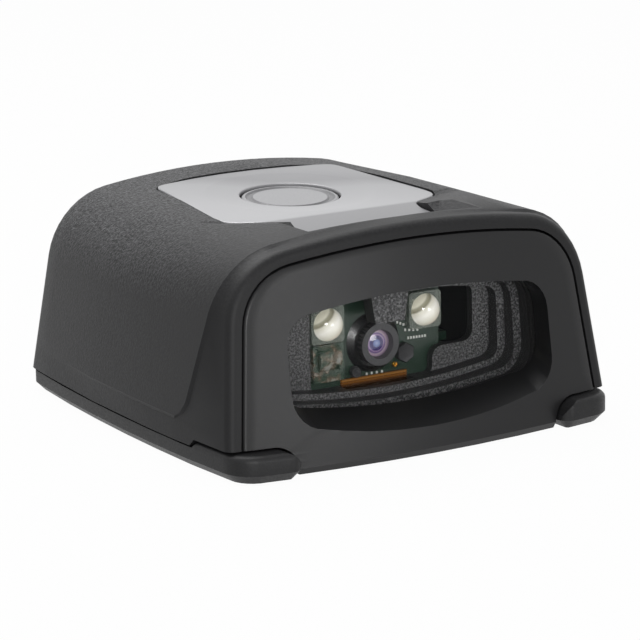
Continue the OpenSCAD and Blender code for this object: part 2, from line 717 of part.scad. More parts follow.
// Moulded housing: lofted crowned shell with a raised side panel, a let-in label seat,
// a finger groove, a connector pocket and screw bosses
module top_housing() {
    pad_w = pocket_w + 3;
    color([0.23, 0.23, 0.24]) difference() {
        union() {
            difference() {
                housing_form();
                housing_hollow();
            }
            intersection() {
                housing_form();
                union() {
                    translate([-pad_w/2, pocket_y - pad_t, seam_z])
                        cube([pad_w, overall_l, connector_z + pocket_h/2 + pad_t - seam_z]);
                    for (side = [0, 1], y = [boss_front_y, boss_rear_y]) mirror([side, 0, 0])
                        translate([boss_x(y), y - rib_t/2, seam_z + over])
                            cube([half_w, rib_t, boss_top - seam_z - over]);
                }
            }
            for (p = boss_places) translate([p[0], p[1], seam_z]) cylinder(r = boss_r, h = boss_top - seam_z);
            for (x = [-hanger_x, hanger_x]) translate([x, key_y, switch_board_top])
                cylinder(r = hanger_r, h = roof_under + hanger_root - switch_board_top);
        }
        groove();
        for (side = [0, 1]) mirror([side, 0, 0]) label_relief();
        label_prism(label_gap, -4*label_t, label_t);
        at_key() {
            translate([0, 0, key_floor]) cylinder(r = key_r + key_gap, h = 3*key_t);
            translate([0, 0, roof_under - over]) cylinder(r = key_stem_r + stem_gap, h = roof_t);
        }
        facing_rear(pocket_y) rounded_plate(pocket_w, pocket_h, pocket_r, pocket_depth + over);
        translate([-body_w/2 - seat_gap, pocket_y - pad_t - over, body_low - seat_gap])
            cube([body_w + 2*seat_gap, pad_t + 2*over, body_h + 2*seat_gap]);
        facing_rear(pocket_y - pad_t - over) for (x = [-jack_pitch/2, jack_pitch/2])
            translate([x, 0, 0]) cylinder(r = stud_r + screw_gap, h = pad_t + 2*over);
        for (p = boss_places) translate([p[0], p[1], seam_z - over])
            cylinder(r = screw_r + screw_gap/2, h = over + screw_reach + screw_room);
        for (x = [-hanger_x, hanger_x]) translate([x, key_y, switch_board_top - over])
            cylinder(r = small_screw_r + screw_gap/2, h = over + hanger_screw_l + screw_room);
        for (side = [0, 1]) mirror([side, 0, 0]) foot_clearance();
    }
}

// Room for a foot under the housing's front corner and the bezel
module foot_clearance() {
    rear = -half_l + foot_l + foot_gap;
    ramp = foot_h + foot_gap - seam_z;
    profile = [[-half_l - over, -over], [rear, -over], [rear, seam_z], [rear - ramp, foot_h + foot_gap],
        [-half_l - over, foot_h + foot_gap]];
    difference() {
        translate([foot_x - foot_gap, 0, 0]) rotate([90, 0, 90]) linear_extrude(half_w) polygon(profile);
        toe_corner(foot_gap);
    }
}

// Smooth front frame, flush with the rim of the housing, with the window opening and a rounded chin
bezel_low = 0.1;
chin_r = 1.2;
bezel_fillet = 0.35;
function chin(z) = z >= chin_r ? 0 : chin_r - sqrt(max(0, chin_r*chin_r - pow(chin_r - z, 2)));
bezel_lows = [bezel_low, chin_r*0.35, chin_r, seam_z];
function bezel_ring(shift, inset) =
    [for (p = ring("front", shift, wall_t + bezel_gap + inset, 0, bezel_lows)) [p[0], p[1] + chin(p[2]), p[2]]];
function bezel_face(share) =
    let (edge = bezel_ring(0, bezel_fillet), mid_z = (bezel_low + overall_h)/2)
    [for (p = edge) let (x = p[0]*share, z = mid_z + (p[2] - mid_z)*share) [x, front_y(x, z) + chin(z), z]];
bezel_shares = [0.3, 0.42, 0.54, 0.64, 0.73, 0.81, 0.88, 0.94];
module front_bezel() {
    flat_back = [for (p = bezel_ring(bezel_t, 0)) [p[0], back_y(p[2]), p[2]]];
    color([0.2, 0.2, 0.21]) difference() {
        loft(concat([for (share = bezel_shares) bezel_face(share)], [bezel_ring(0, bezel_fillet),
            bezel_ring(bezel_fillet*0.3, bezel_fillet*0.3), bezel_ring(bezel_fillet, 0), flat_back]));
        bezel_opening();
        for (side = [0, 1]) mirror([side, 0, 0]) foot_clearance();
    }
}
// Opening with upright sides and a sill that climbs to the window
module bezel_opening() {
    run = bezel_t + 2*over;
    front = opening_ring(0, -sill_rise*over/bezel_t);
    back = opening_ring(0, sill_rise*(1 + over/bezel_t));
    loft([[for (p = front) [p[0], back_y(p[1]) - bezel_t - over, p[1]]],
        [for (p = back) [p[0], back_y(p[1]) - bezel_t - over + run, p[1]]]]);
}

// Clear pane, seated on the back of the bezel
module exit_window() {
    color([0.7, 0.8, 0.85, 0.35]) leaning_slab(opening_ring(window_lap, tunnel_rise), 0, window_t);
}

// Soft frame between the pane and the baffle
module window_gasket() {
    rear = window_t + gasket_t;
    color([0.08, 0.08, 0.08]) difference() {
        leaning_slab(opening_ring(window_lap, tunnel_rise), window_t, rear);
        leaning_slab(opening_ring(window_lap - gasket_w, tunnel_rise), window_t - over, rear + over);
    }
}

// Light baffle: tunnel from the window to the engine with stepped ridges, closed by a back plate
baffle_start = window_t + gasket_t;
plate_rear = engine_front;
plate_front = plate_rear - baffle_back_t;
tunnel_lap = window_lap - gasket_w;
ridges = 3;
// How much less each ridge rises at the floor than at the sides
ridge_sink = 0.35;
engine_margin = 0.75;
function upright(outline, y) = [for (p = outline) [p[0], y, p[1]]];
function leaning(outline, d) = [for (p = outline) [p[0], back_y(p[1]) + d, p[1]]];
engine_z = dome_z - engine_h/2 + dome_frame/2 + engine_margin;
engine_low = engine_z - engine_h/2;
// Share of the way from the window to the back plate
function between(outline, share) =
    [for (p = outline) [p[0], (back_y(p[1]) + baffle_start)*(1 - share) + plate_front*share, p[1]]];
module light_baffle() {
    outer = opening_ring(tunnel_lap + baffle_wall, tunnel_rise);
    tab_top = opening_bottom + opening_h + tunnel_lap + baffle_wall/2;
    tab_low = dome_z - tab_drop;
    slot_w = flex_w + 4*seat_gap;
    color([0.15, 0.15, 0.15]) difference() {
        union() {
            difference() {
                loft([leaning(outer, baffle_start), upright(outer, plate_rear)]);
                for (k = [0:ridges - 1])
                    let (inner = opening_ring(tunnel_lap - k*ridge_step, tunnel_rise - k*ridge_sink))
                    loft([leaning(inner, baffle_start - over), between(inner, (k + 1)/ridges)]);
            }
            translate([0, plate_front, 0]) rotate([90, 0, 0]) linear_extrude(tab_l)
                polygon([[-tab_hw - tab_spread, tab_top], [tab_hw + tab_spread, tab_top], [tab_hw, tab_low],
                    [-tab_hw, tab_low]]);
        }
        translate([0, plate_rear + over, 0]) rotate([90, 0, 0])
            linear_extrude(baffle_back_t + 2*over) polygon(engine_gate());
        translate([-slot_w/2, plate_front - over, engine_low - 2*flex_t])
            cube([slot_w, baffle_back_t + 2*over, 5*flex_t]);
    }
}
// Tab that hangs from the tunnel's roof above the lens
tab_drop = 0.05;
tab_hw = 2.2;
tab_spread = 1.1;
tab_l = 3.2;
// Gate in the back plate that shows the front of the engine, with a dark bay at its upper right
gate_lap = 0.4;
gate_gap = 0.3;
gate_r = 1;
gate_in = 1.75;
bay_w = 4.6;
bay_drop = 5.1;
bay_r = 1.8;
gate_x = dome_pitch/2 + dome_frame/2 + gate_gap;
function engine_gate() =
    let (low = engine_low + gate_lap, top = engine_low + engine_h - gate_lap, bay_low = dome_z - bay_drop)
    blended([[-gate_x, low, gate_r], [gate_x - gate_in, low, gate_r], [gate_x - gate_in, bay_low, bay_r],
        [gate_x + bay_w, bay_low, bay_r], [gate_x + bay_w, top, bay_r], [-gate_x, top, gate_r]]);

// Imaging engine, seen through the gate of the baffle
board_hole_gap = 0.15;
engine_back = engine_front + engine_board_t + engine_d;
spot_in = 2.2;
screw_spots = [[engine_w/2 - spot_in, engine_low + spot_in],
    [spot_in - engine_w/2, engine_low + engine_h - spot_in]];
engine_screw_l = 3;
frame_t = 1.2;
frame_corner_r = 0.5;
// How far the dome's and the aiming bar's centres lie below the faces they rise from
dome_sink = 0.48;
bar_sink = 1.2;
// Draws children in the engine's front plane: x across, y up, z towards the front
module on_engine(x, z) { translate([x, engine_front, z]) rotate([90, 0, 0]) children(); }

module engine_chassis() {
    block_front = engine_front + engine_board_t;
    color([0.12, 0.12, 0.12]) difference() {
        translate([-engine_w/2, block_front, engine_low]) cube([engine_w, engine_d, engine_h]);
        translate([0, block_front - over, lens_z]) rotate([-90, 0, 0])
            cylinder(r = lens_r + seat_gap/2, h = engine_d + 2*over);
        translate([-sensor_w/2 - seat_gap, engine_back - sensor_t - seat_gap, lens_z - sensor_w/2 - seat_gap])
            cube([sensor_w + 2*seat_gap, sensor_t + seat_gap + over, sensor_w + 2*seat_gap]);
        for (spot = screw_spots) translate([spot[0], engine_back + over, spot[1]]) rotate([90, 0, 0])
            cylinder(r = small_screw_r + screw_gap/2, h = over + engine_screw_l + screw_room);
    }
}

// Green board that carries the illumination, clamped to the chassis by the flange of the lens barrel
module illumination_board() {
    color([0.2, 0.38, 0.27]) difference() {
        translate([-engine_w/2, engine_front, engine_low]) cube([engine_w, engine_board_t, engine_h]);
        translate([0, engine_front - over, lens_z]) rotate([-90, 0, 0])
            cylinder(r = lens_r + board_hole_gap, h = engine_board_t + 2*over);
    }
}

led_w = 2.6;
led_t = 0.6;
led_base_t = 0.36;
led_die_r = 1.04;
// Clear dome on a square frame, hollowed for its emitter
module illumination_lens(x) {
    color([0.92, 0.92, 0.86, 0.6]) on_engine(x, dome_z) difference() {
        union() {
            linear_extrude(frame_t) polygon(rounded_points(dome_frame, dome_frame, frame_corner_r));
            intersection() {
                translate([0, 0, frame_t - dome_sink]) sphere(r = dome_r);
                cylinder(r = dome_r, h = frame_t + dome_r);
            }
        }
        translate([-led_w/2 - seat_gap, -led_w/2 - seat_gap, -over])
            cube([led_w + 2*seat_gap, led_w + 2*seat_gap, led_t + seat_gap + over]);
    }
}
module illumination_lens_left() { illumination_lens(-dome_pitch/2); }
module illumination_lens_right() { illumination_lens(dome_pitch/2); }

// Emitter: ceramic base with a raised die
module emitter(x) {
    color([0.95, 0.9, 0.6]) on_engine(x, dome_z) {
        translate([-led_w/2, -led_w/2, 0]) cube([led_w, led_w, led_base_t]);
        cylinder(r = led_die_r, h = led_t);
    }
}
module led_left() { emitter(-dome_pitch/2); }
module led_right() { emitter(dome_pitch/2); }

aim_w = 4.6;
aim_h = 4.9;
aim_t = 1.4;
aim_gap = 0.1;
aim_x = -dome_pitch/2 - aim_gap;
aim_z = dome_z - dome_frame/2 - aim_h/2 - aim_gap;
aim_led_w = 1.6;
aim_led_t = 0.7;
aim_die_r = 0.56;
// Clear aiming block with a cylinder lens across its front
module aiming_lens() {
    bar_r = 2;
    bar_l = 3.2;
    bar_up = 0.6;
    color([0.85, 0.9, 0.85, 0.6]) on_engine(aim_x, aim_z) difference() {
        union() {
            translate([-aim_w/2, -aim_h/2, 0]) cube([aim_w, aim_h, aim_t]);
            intersection() {
                translate([0, bar_up, aim_t - bar_sink]) rotate([0, 90, 0])
                    cylinder(r = bar_r, h = bar_l, center = true);
                translate([-aim_w/2, -aim_h/2, 0]) cube([aim_w, aim_h, aim_t + bar_r]);
            }
        }
        translate([-aim_led_w/2 - seat_gap, -aim_led_w/2 - seat_gap, -over])
            cube([aim_led_w + 2*seat_gap, aim_led_w + 2*seat_gap, aim_led_t + seat_gap + over]);
    }
}
module aiming_led() {
    color([0.7, 0.72, 0.7]) on_engine(aim_x, aim_z) {
        translate([-aim_led_w/2, -aim_led_w/2, 0]) cube([aim_led_w, aim_led_w, led_base_t]);
        cylinder(r = aim_die_r, h = aim_led_t);
    }
}

flange_front = 2;
flange_rise = 0.6;
flange_step = 0.35;
glass_seat = 1.2;
glass_t = 1;
glass_fit = 0.03;
stop_in = 0.45;
mouth_in = 0.55;
barrel_l = engine_d - 2;
// Turned lens barrel: coned clamping flange, front ring with a coned mouth, a glass seat and a through bore
module lens_barrel() {
    back = -engine_board_t - barrel_l;
    color([0.07, 0.07, 0.07]) on_engine(0, lens_z) difference() {
        union() {
            translate([0, 0, back]) cylinder(r = lens_r, h = -back + over/2);
            cylinder(r1 = lens_flange_r, r2 = lens_face_r + flange_step, h = flange_rise);
            cylinder(r = lens_face_r, h = flange_front);
        }
        translate([0, 0, glass_seat]) cylinder(r1 = glass_r, r2 = lens_face_r - mouth_in, h = flange_front);
        translate([0, 0, glass_seat - glass_t]) cylinder(r = glass_r + glass_fit, h = glass_t + glass_fit);
        translate([0, 0, back - over]) cylinder(r = glass_r - stop_in, h = flange_front - back + 2*over);
    }
}
// Coated front lens, domed towards the front
module lens_glass() {
    dome = 0.35;
    big_r = (glass_r*glass_r + dome*dome)/(2*dome);
    color([0.35, 0.3, 0.6, 0.7]) on_engine(0, lens_z) intersection() {
        translate([0, 0, glass_seat - glass_t]) cylinder(r = glass_r, h = glass_t + dome);
        translate([0, 0, glass_seat + dome - big_r]) sphere(r = big_r, $fn = 96);
    }
}

sensor_w = 7;
sensor_t = 1.4;
module image_sensor() {
    window_w = sensor_w - 2;
    window_deep = 0.3;
    color([0.25, 0.25, 0.28]) translate([0, engine_back - sensor_t, lens_z]) rotate([-90, 0, 0]) difference() {
        translate([-sensor_w/2, -sensor_w/2, 0]) cube([sensor_w, sensor_w, sensor_t]);
        translate([-window_w/2, -window_w/2, -over]) cube([window_w, window_w, over + window_deep]);
    }
}
// Rear board of the engine, under the sensor
module sensor_board() {
    color([0.2, 0.38, 0.27]) difference() {
        translate([-engine_w/2, engine_back, engine_low]) cube([engine_w, engine_board_t, engine_h]);
        for (spot = screw_spots) translate([spot[0], engine_back - over, spot[1]]) rotate([-90, 0, 0])
            cylinder(r = small_screw_r + screw_gap, h = engine_board_t + 2*over);
    }
}

// Pan-head screw along +Z with its head from z = 0 to its height, shank below, and a cross recess
module pan_screw(r, head_r, head_height, reach) {
    slot = r*0.5;
    difference() {
        union() {
            cylinder(r = head_r, h = head_height);
            translate([0, 0, -reach]) cylinder(r = r, h = reach + head_height/2);
        }
        for (turn = [0, 90]) rotate(turn)
            translate([-head_r*0.6, -slot/2, head_height*0.5]) cube([head_r*1.2, slot, head_height]);
    }
}
small_head_r = 2*small_screw_r;
small_head_h = 0.6;
// Screws that hold the engine's rear board, driven from behind
module engine_screws() {
    color([0.6, 0.6, 0.6]) for (spot = screw_spots)
        translate([spot[0], engine_rear, spot[1]]) rotate([-90, 0, 0])
            pan_screw(small_screw_r, small_head_r, small_head_h, engine_board_t + engine_screw_l);
}

// Strip of constant thickness along a path in the YZ plane
function strip_side(path, off) =
    [for (i = [0:len(path) - 1])
        let (
            a = path[max(0, i - 1)],
            b = path[min(len(path) - 1, i + 1)],
            m = turned(path[i] - a == [0, 0] ? b - path[i] : path[i] - a),
            k = turned(b - path[i] == [0, 0] ? path[i] - a : b - path[i]),
            mid = (m + k)/2
        )
        path[i] + off*mid/(mid*mid)];
module strip(path, width, t) {
    outline = concat(strip_side(path, t/2), [for (i = [len(path) - 1:-1:0]) strip_side(path, -t/2)[i]]);
    translate([-width/2, 0, 0]) rotate([90, 0, 90]) linear_extrude(width) polygon(outline);
}
// Amber flat flex: up the front of the engine board, under the engine and into its socket
flex_show = 1.25;
flex_under = engine_low - flex_t/2;
socket_back = 1.6;
socket_y = board_front + socket_back;
socket_l = 3;
socket_h = 1.5;
socket_grip = 0.6*socket_l;
flex_mouth_z = board_top + socket_h/2;
rise_y = (engine_rear + board_front)/2;
flex_path = [
    [engine_front - flex_t/2, engine_low + flex_show],
    [engine_front - flex_t/2, flex_under],
    [rise_y, flex_under],
    [rise_y, flex_mouth_z],
    [socket_y + socket_grip, flex_mouth_z]];
module flex_cable() { color([0.72, 0.44, 0.1]) strip(flex_path, flex_w, flex_t); }
module flex_socket() {
    w = flex_w + 2;
    color([0.85, 0.83, 0.78]) difference() {
        translate([-w/2, socket_y, board_top]) cube([w, socket_l, socket_h]);
        translate([-flex_w/2 - seat_gap, socket_y - over, flex_mouth_z - flex_t/2 - screw_gap/2])
            cube([flex_w + 2*seat_gap, over + socket_grip + seat_gap, flex_t + screw_gap]);
    }
}

// Main board with its chips
module decode_board() {
    color([0.12, 0.33, 0.2]) difference() {
        translate([-board_w/2, board_front, board_z]) cube([board_w, board_rear - board_front, board_t]);
        for (p = standoff_places) translate([p[0], p[1], board_z - over])
            cylinder(r = small_screw_r + screw_gap, h = board_t + 2*over);
    }
}
chip_y = socket_y + socket_l + 1;
// Chips take their length from the room between the flex socket and the connector
chip_share = 0.635;
chip_l = chip_share*(body_y - chip_y);
processor_h = 1.1;
memory_w = 0.15*board_w;
memory_h = 0.9;
beeper_h = 3;
// Flat chip package with a marked corner
module chip(x, y, w, l, h) {
    mark_in = 1;
    mark_r = 0.4;
    mark_deep = 0.1;
    translate([x - w/2, y, board_top]) difference() {
        cube([w, l, h]);
        translate([mark_in, mark_in, h - mark_deep]) cylinder(r = mark_r, h = over);
    }
}
module processor() { color([0.1, 0.1, 0.11]) chip(-board_w/5, chip_y, board_w/5, chip_l, processor_h); }
module memory_chip() { color([0.1, 0.1, 0.11]) chip(board_w/6, chip_y, memory_w, chip_l, memory_h); }
module beeper() {
    r = memory_w/2;
    x = board_w/2 - r - boss_clear;
    port_deep = 0.8;
    color([0.08, 0.08, 0.08]) translate([x, chip_y + chip_l/2, board_top]) difference() {
        cylinder(r = r, h = beeper_h);
        translate([0, 0, beeper_h - port_deep]) cylinder(r = r/4, h = beeper_h);
    }
}
board_screw_l = 3;
module board_screws() {
    color([0.6, 0.6, 0.6]) for (p = standoff_places) translate([p[0], p[1], board_top])
        pan_screw(small_screw_r, small_head_r, small_head_h, board_t + board_screw_l);
}

// Small board under the roof, with the key's switch
module switch_board() {
    color([0.12, 0.33, 0.2]) difference() {
        translate([-switch_board_w/2, key_y - switch_board_l/2, switch_board_z])
            cube([switch_board_w, switch_board_l, board_t]);
        for (x = [-hanger_x, hanger_x]) translate([x, key_y, switch_board_z - over])
            cylinder(r = small_screw_r + screw_gap, h = board_t + 2*over);
    }
}
plunger_r = 1.2;
plunger_deep = 1.2;
plunger_gap = 0.35;
// Where the leaning axis of the key crosses the top of the switch, behind the key's centre
plunger_lean = tan(label_fall)*(key_top - stem_low + switch_lift);
module tact_switch() {
    color([0.2, 0.2, 0.2]) translate([0, key_y, switch_board_top]) difference() {
        translate([-switch_w/2, -switch_w/2, 0]) cube([switch_w, switch_w, switch_h]);
        translate([0, plunger_lean, switch_h - plunger_deep - key_travel - plunger_gap])
            cylinder(r = plunger_r + plunger_gap, h = switch_h);
    }
}
// Moving plunger of the switch, under the key's stem
module switch_plunger() {
    color([0.85, 0.8, 0.7]) at_key() translate([0, 0, stem_low - switch_lift - plunger_deep])
        cylinder(r = plunger_r, h = switch_lift + plunger_deep);
}
module switch_screws() {
    color([0.6, 0.6, 0.6]) for (x = [-hanger_x, hanger_x]) translate([x, key_y, switch_board_z])
        mirror([0, 0, 1]) pan_screw(small_screw_r, small_head_r, small_head_h, board_t + hanger_screw_l);
}
// Flat lead from the switch board down to the main board
module switch_lead() {
    w = 5;
    t = 0.4;
    edge_in = 1;
    color([0.75, 0.75, 0.7]) translate([-w/2, key_y + switch_board_l/2 - edge_in - t, board_top])
        cube([w, t, switch_board_z - board_top]);
}

// Round key: a dished cap in the label's hole, with a snap-in stem to the switch
key_ring_w = 1.5;
key_dip = 0.22;
key_edge = 0.2;
key_edge_drop = 0.12;
key_lip_w = 0.45;
key_slope_w = 0.25;
key_face_drop = 0.03;
module scan_button() {
    face_r = key_r - key_ring_w;
    color([0.72, 0.72, 0.73]) at_key() {
        rotate_extrude($fn = 96) polygon([
            [0, key_low], [key_r, key_low], [key_r, key_top - key_edge_drop], [key_r - key_edge, key_top],
            [key_r - key_lip_w, key_top], [key_r - key_lip_w - key_slope_w, key_top - key_dip],
            [face_r + key_slope_w, key_top - key_dip], [face_r, key_top - key_face_drop], [0, key_top]]);
        translate([0, 0, stem_low]) cylinder(r = key_stem_r, h = key_stem_l + key_t/4);
        translate([0, 0, roof_under - key_pocket_gap - bead_h])
            cylinder(r = key_stem_r + bead_out, h = bead_h);
    }
}

// Silver cover plate with a finger dish round the key and a bent front strip
dish_steps = 10;
module label_dish() {
    span = (label_rear_y + label_front_y)/2;
    big_r = (span*span + dish_depth*dish_depth)/(2*dish_depth);
    arc = [for (i = [0:dish_steps]) let (r = (span + over)*i/dish_steps)
        [r, big_r - dish_depth - sqrt(big_r*big_r - r*r)]];
    translate([0, 0, label_z]) rotate([label_fall, 0, 0]) translate([0, key_y, 0])
        rotate_extrude($fn = 96) polygon(concat(arc, [[span + over, over], [0, over]]));
}
module top_label() {
    color([0.76, 0.76, 0.77]) difference() {
        label_prism(0, 0, label_t);
        label_dish();
        at_key() translate([0, 0, key_floor]) cylinder(r = key_r + key_gap, h = 3*key_t, $fn = 96);
    }
}

// Cable connector: metal flange and mating shell, insulator, contacts and jack posts
flange_corner_r = 1.5;
shell_t = 0.5;
shell_corner_r = 1.8;
shell_lean = 10;
function shell_points(grow) =
    let (
        h = shell_h/2 + grow,
        r = shell_corner_r + grow,
        wide = shell_w/2 + grow - r,
        narrow = wide - (shell_h - 2*shell_corner_r)*tan(shell_lean),
        corners = [[wide, -h + r, -90], [narrow, h - r, 0], [-narrow, h - r, 90], [-wide, -h + r, 180]]
    )
    [for (c = corners, i = [0:corner_steps]) let (a = c[2] + 90*i/corner_steps)
        [c[0] + r*cos(a), c[1] + r*sin(a)]];
module connector_shell() {
    color([0.75, 0.75, 0.77]) facing_rear(pocket_y) difference() {
        union() {
            rounded_plate(flange_w, flange_h, flange_corner_r, flange_t);
            linear_extrude(flange_t + shell_l) polygon(shell_points(0));
        }
        translate([0, 0, -over]) linear_extrude(flange_t + shell_l + 2*over) polygon(shell_points(-shell_t));
        for (x = [-jack_pitch/2, jack_pitch/2]) translate([x, 0, -over])
            cylinder(r = stud_r + screw_gap, h = flange_t + 2*over);
    }
}
contact_pitch = 2.3;
contact_row = 2;
contact_r = 0.45;
contact_l = 12;
tail_w = 0.5;
// Tails stand behind the insulator, row behind row
tail_out = 0.6;
tail_step = 0.55;
contact_places = [for (row = [-1:1], k = [-2:2])
    [k*contact_pitch + (row == 0 ? contact_pitch/4 : -contact_pitch/4), row*contact_row]];
insert_back = 0.3;
insert_fit = 0.05;
insert_end = flange_t + shell_l - insert_back;
module connector_insert() {
    color([0.1, 0.1, 0.12]) difference() {
        union() {
            translate([-body_w/2, body_y, body_low]) cube([body_w, pocket_y - body_y, body_h]);
            facing_rear(pocket_y - over) linear_extrude(insert_end + over)
                polygon(shell_points(-shell_t - insert_fit));
        }
        facing_rear(body_y - over) for (c = contact_places) translate([c[0], c[1], 0])
            cylinder(r = contact_r + insert_fit, h = overall_l);
    }
}
// Socket contacts, each with a tail that runs down to the board
module connector_contacts() {
    color([0.85, 0.7, 0.35]) facing_rear(body_y) for (c = contact_places) {
        tail = tail_out + tail_step*(1 - c[1]/contact_row);
        translate([c[0], c[1], -tail]) cylinder(r = contact_r, h = contact_l + tail);
        translate([c[0] - tail_w/2, c[1], -tail]) cube([tail_w, connector_lift - c[1], tail_w]);
    }
}
// Hexagonal jack posts, screwed through the flange
module jack_posts() {
    post_r = 2.75;
    post_l = 4.4;
    thread_r = 1.2;
    thread_floor = 1;
    color([0.7, 0.7, 0.72]) facing_rear(pocket_y) for (x = [-jack_pitch/2, jack_pitch/2]) translate([x, 0, 0])
        difference() {
            union() {
                translate([0, 0, flange_t]) cylinder(r = post_r, h = post_l, $fn = 6);
                translate([0, 0, -pad_t]) cylinder(r = stud_r, h = pad_t + flange_t + over/2);
            }
            translate([0, 0, flange_t + thread_floor]) cylinder(r = thread_r, h = post_l);
        }
}

// Long screws from below, through the base into the housing's bosses
module housing_screws() {
    color([0.3, 0.3, 0.3]) for (p = boss_places) translate([p[0], p[1], head_h + seat_gap])
        mirror([0, 0, 1]) pan_screw(screw_r, screw_head_r, head_h, seam_z + screw_reach - head_h - seat_gap);
}

base_plate();
base_seal();
top_housing();
front_bezel();
exit_window();
window_gasket();
light_baffle();
engine_chassis();
illumination_board();
illumination_lens_left();
illumination_lens_right();
led_left();
led_right();
aiming_lens();
aiming_led();
lens_barrel();
lens_glass();
image_sensor();
sensor_board();
engine_screws();
flex_cable();
flex_socket();
decode_board();
processor();
memory_chip();
beeper();
board_screws();
switch_board();
tact_switch();
switch_plunger();
switch_screws();
switch_lead();
scan_button();
top_label();
connector_shell();
connector_insert();
connector_contacts();
jack_posts();
housing_screws();
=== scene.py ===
import math

import bpy
from mathutils import Matrix, Vector


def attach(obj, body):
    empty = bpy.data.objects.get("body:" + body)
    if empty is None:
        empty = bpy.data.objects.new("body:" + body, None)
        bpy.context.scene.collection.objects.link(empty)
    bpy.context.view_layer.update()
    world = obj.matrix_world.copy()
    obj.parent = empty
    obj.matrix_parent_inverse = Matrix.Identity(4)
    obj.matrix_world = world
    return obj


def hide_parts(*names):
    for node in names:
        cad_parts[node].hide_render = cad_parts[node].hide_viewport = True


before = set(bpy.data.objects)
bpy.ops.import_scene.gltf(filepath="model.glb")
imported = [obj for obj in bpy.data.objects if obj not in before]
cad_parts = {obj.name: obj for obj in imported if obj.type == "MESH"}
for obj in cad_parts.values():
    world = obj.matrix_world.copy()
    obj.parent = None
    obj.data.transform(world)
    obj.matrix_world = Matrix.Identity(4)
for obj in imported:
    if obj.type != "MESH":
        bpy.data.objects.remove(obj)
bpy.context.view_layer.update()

# Camera: a long lens left of the reader's front, a little above its top.
# Its place was found from the outline of the reader in the photograph.
MM = 0.001
EYE = Vector((-206.32, -346.22, 106.44)) * MM
EYE_RIGHT = Vector((0.85492832, -0.51840226, -0.01888562))
EYE_UP = Vector((0.13459177, 0.18650962, 0.97319023))
FILM_WIDTH_MM = 36
LENS_LENGTH_MM = 174.2
NEAREST = 10 * MM
bpy.ops.object.camera_add()
camera = bpy.context.object
camera.name = "camera"
camera.data.sensor_width = FILM_WIDTH_MM
camera.data.lens = LENS_LENGTH_MM
camera.data.clip_start = NEAREST
eye_turn = Matrix((EYE_RIGHT, EYE_UP, EYE_RIGHT.cross(EYE_UP))).transposed().to_4x4()
camera.matrix_world = Matrix.Translation(EYE) @ eye_turn
bpy.context.scene.camera = camera
bpy.context.scene.view_settings.view_transform = "Standard"


# Studio: a sweep of paper under the reader, a broad soft lamp above and behind it, a soft one in front
# and one behind the camera, in a grey room that is brightest at the rear right.
# The camera, reflections and clear parts see a white page in place of the paper and the room.
def ink(code):
    """Linear colour of an sRGB hex value."""
    parts = [int(code[i:i + 2], 16) / 255 for i in (1, 3, 5)]
    return tuple(p / 12.92 if p <= 0.04045 else ((p + 0.055) / 1.055) ** 2.4 for p in parts) + (1,)


def fit(tree, kind, sockets=None, stops=(), **settings):
    """One shader node with its settings, the stops of its colour ramp, its socket values and its links."""
    node = tree.nodes.new(kind)
    for name, value in settings.items():
        setattr(node, name, value)
    if stops:
        bands = node.color_ramp.elements
        for end in (0, -1):
            bands[end].position = stops[end][0]
            bands[end].color = ink(stops[end][1])
        for spot, code in stops[1:-1]:
            bands.new(spot).color = ink(code)
    for name, value in (sockets or {}).items():
        if isinstance(value, bpy.types.NodeSocket):
            tree.links.new(value, node.inputs[name])
        else:
            node.inputs[name].default_value = value
    return node


def blank_material(name):
    """An empty node material, and its tree."""
    material = bpy.data.materials.new(name)
    material.use_nodes = True
    material.node_tree.nodes.clear()
    return material, material.node_tree


def page_rays(tree):
    """1 for the rays of the camera, of reflections and of clear parts, and 0 for those of diffuse light."""
    path = fit(tree, "ShaderNodeLightPath").outputs
    shown = fit(tree, "ShaderNodeMath", {0: path["Is Camera Ray"], 1: path["Is Glossy Ray"]},
                operation="MAXIMUM")
    seen = fit(tree, "ShaderNodeMath", {0: shown.outputs[0], 1: path["Is Transmission Ray"]},
               operation="MAXIMUM")
    return seen.outputs[0]


# Paper: matt and grey where it throws light on the reader, and nearly as white as the page to look at
PAGE = (1, 1, 1, 1)
PAPER_WHITE = 0.97
SWEEP_SIDE = 6
paper, tree = blank_material("matt_pale_paper")
share = fit(tree, "ShaderNodeMath", {0: page_rays(tree), 1: PAPER_WHITE}, operation="MULTIPLY")
matt = fit(tree, "ShaderNodeBsdfDiffuse", {"Color": ink("#c4c4c4"), "Roughness": 0.5})
glow = fit(tree, "ShaderNodeEmission", {"Color": PAGE, "Strength": 1})
both = fit(tree, "ShaderNodeMixShader", {0: share.outputs[0], 1: matt.outputs[0], 2: glow.outputs[0]})
fit(tree, "ShaderNodeOutputMaterial", {"Surface": both.outputs[0]})
bpy.ops.object.select_all(action="DESELECT")
bpy.ops.mesh.primitive_plane_add(size=SWEEP_SIDE, location=(0, 0, 0))
sweep = bpy.context.object
sweep.name = "paper_sweep"
sweep.data.materials.append(paper)

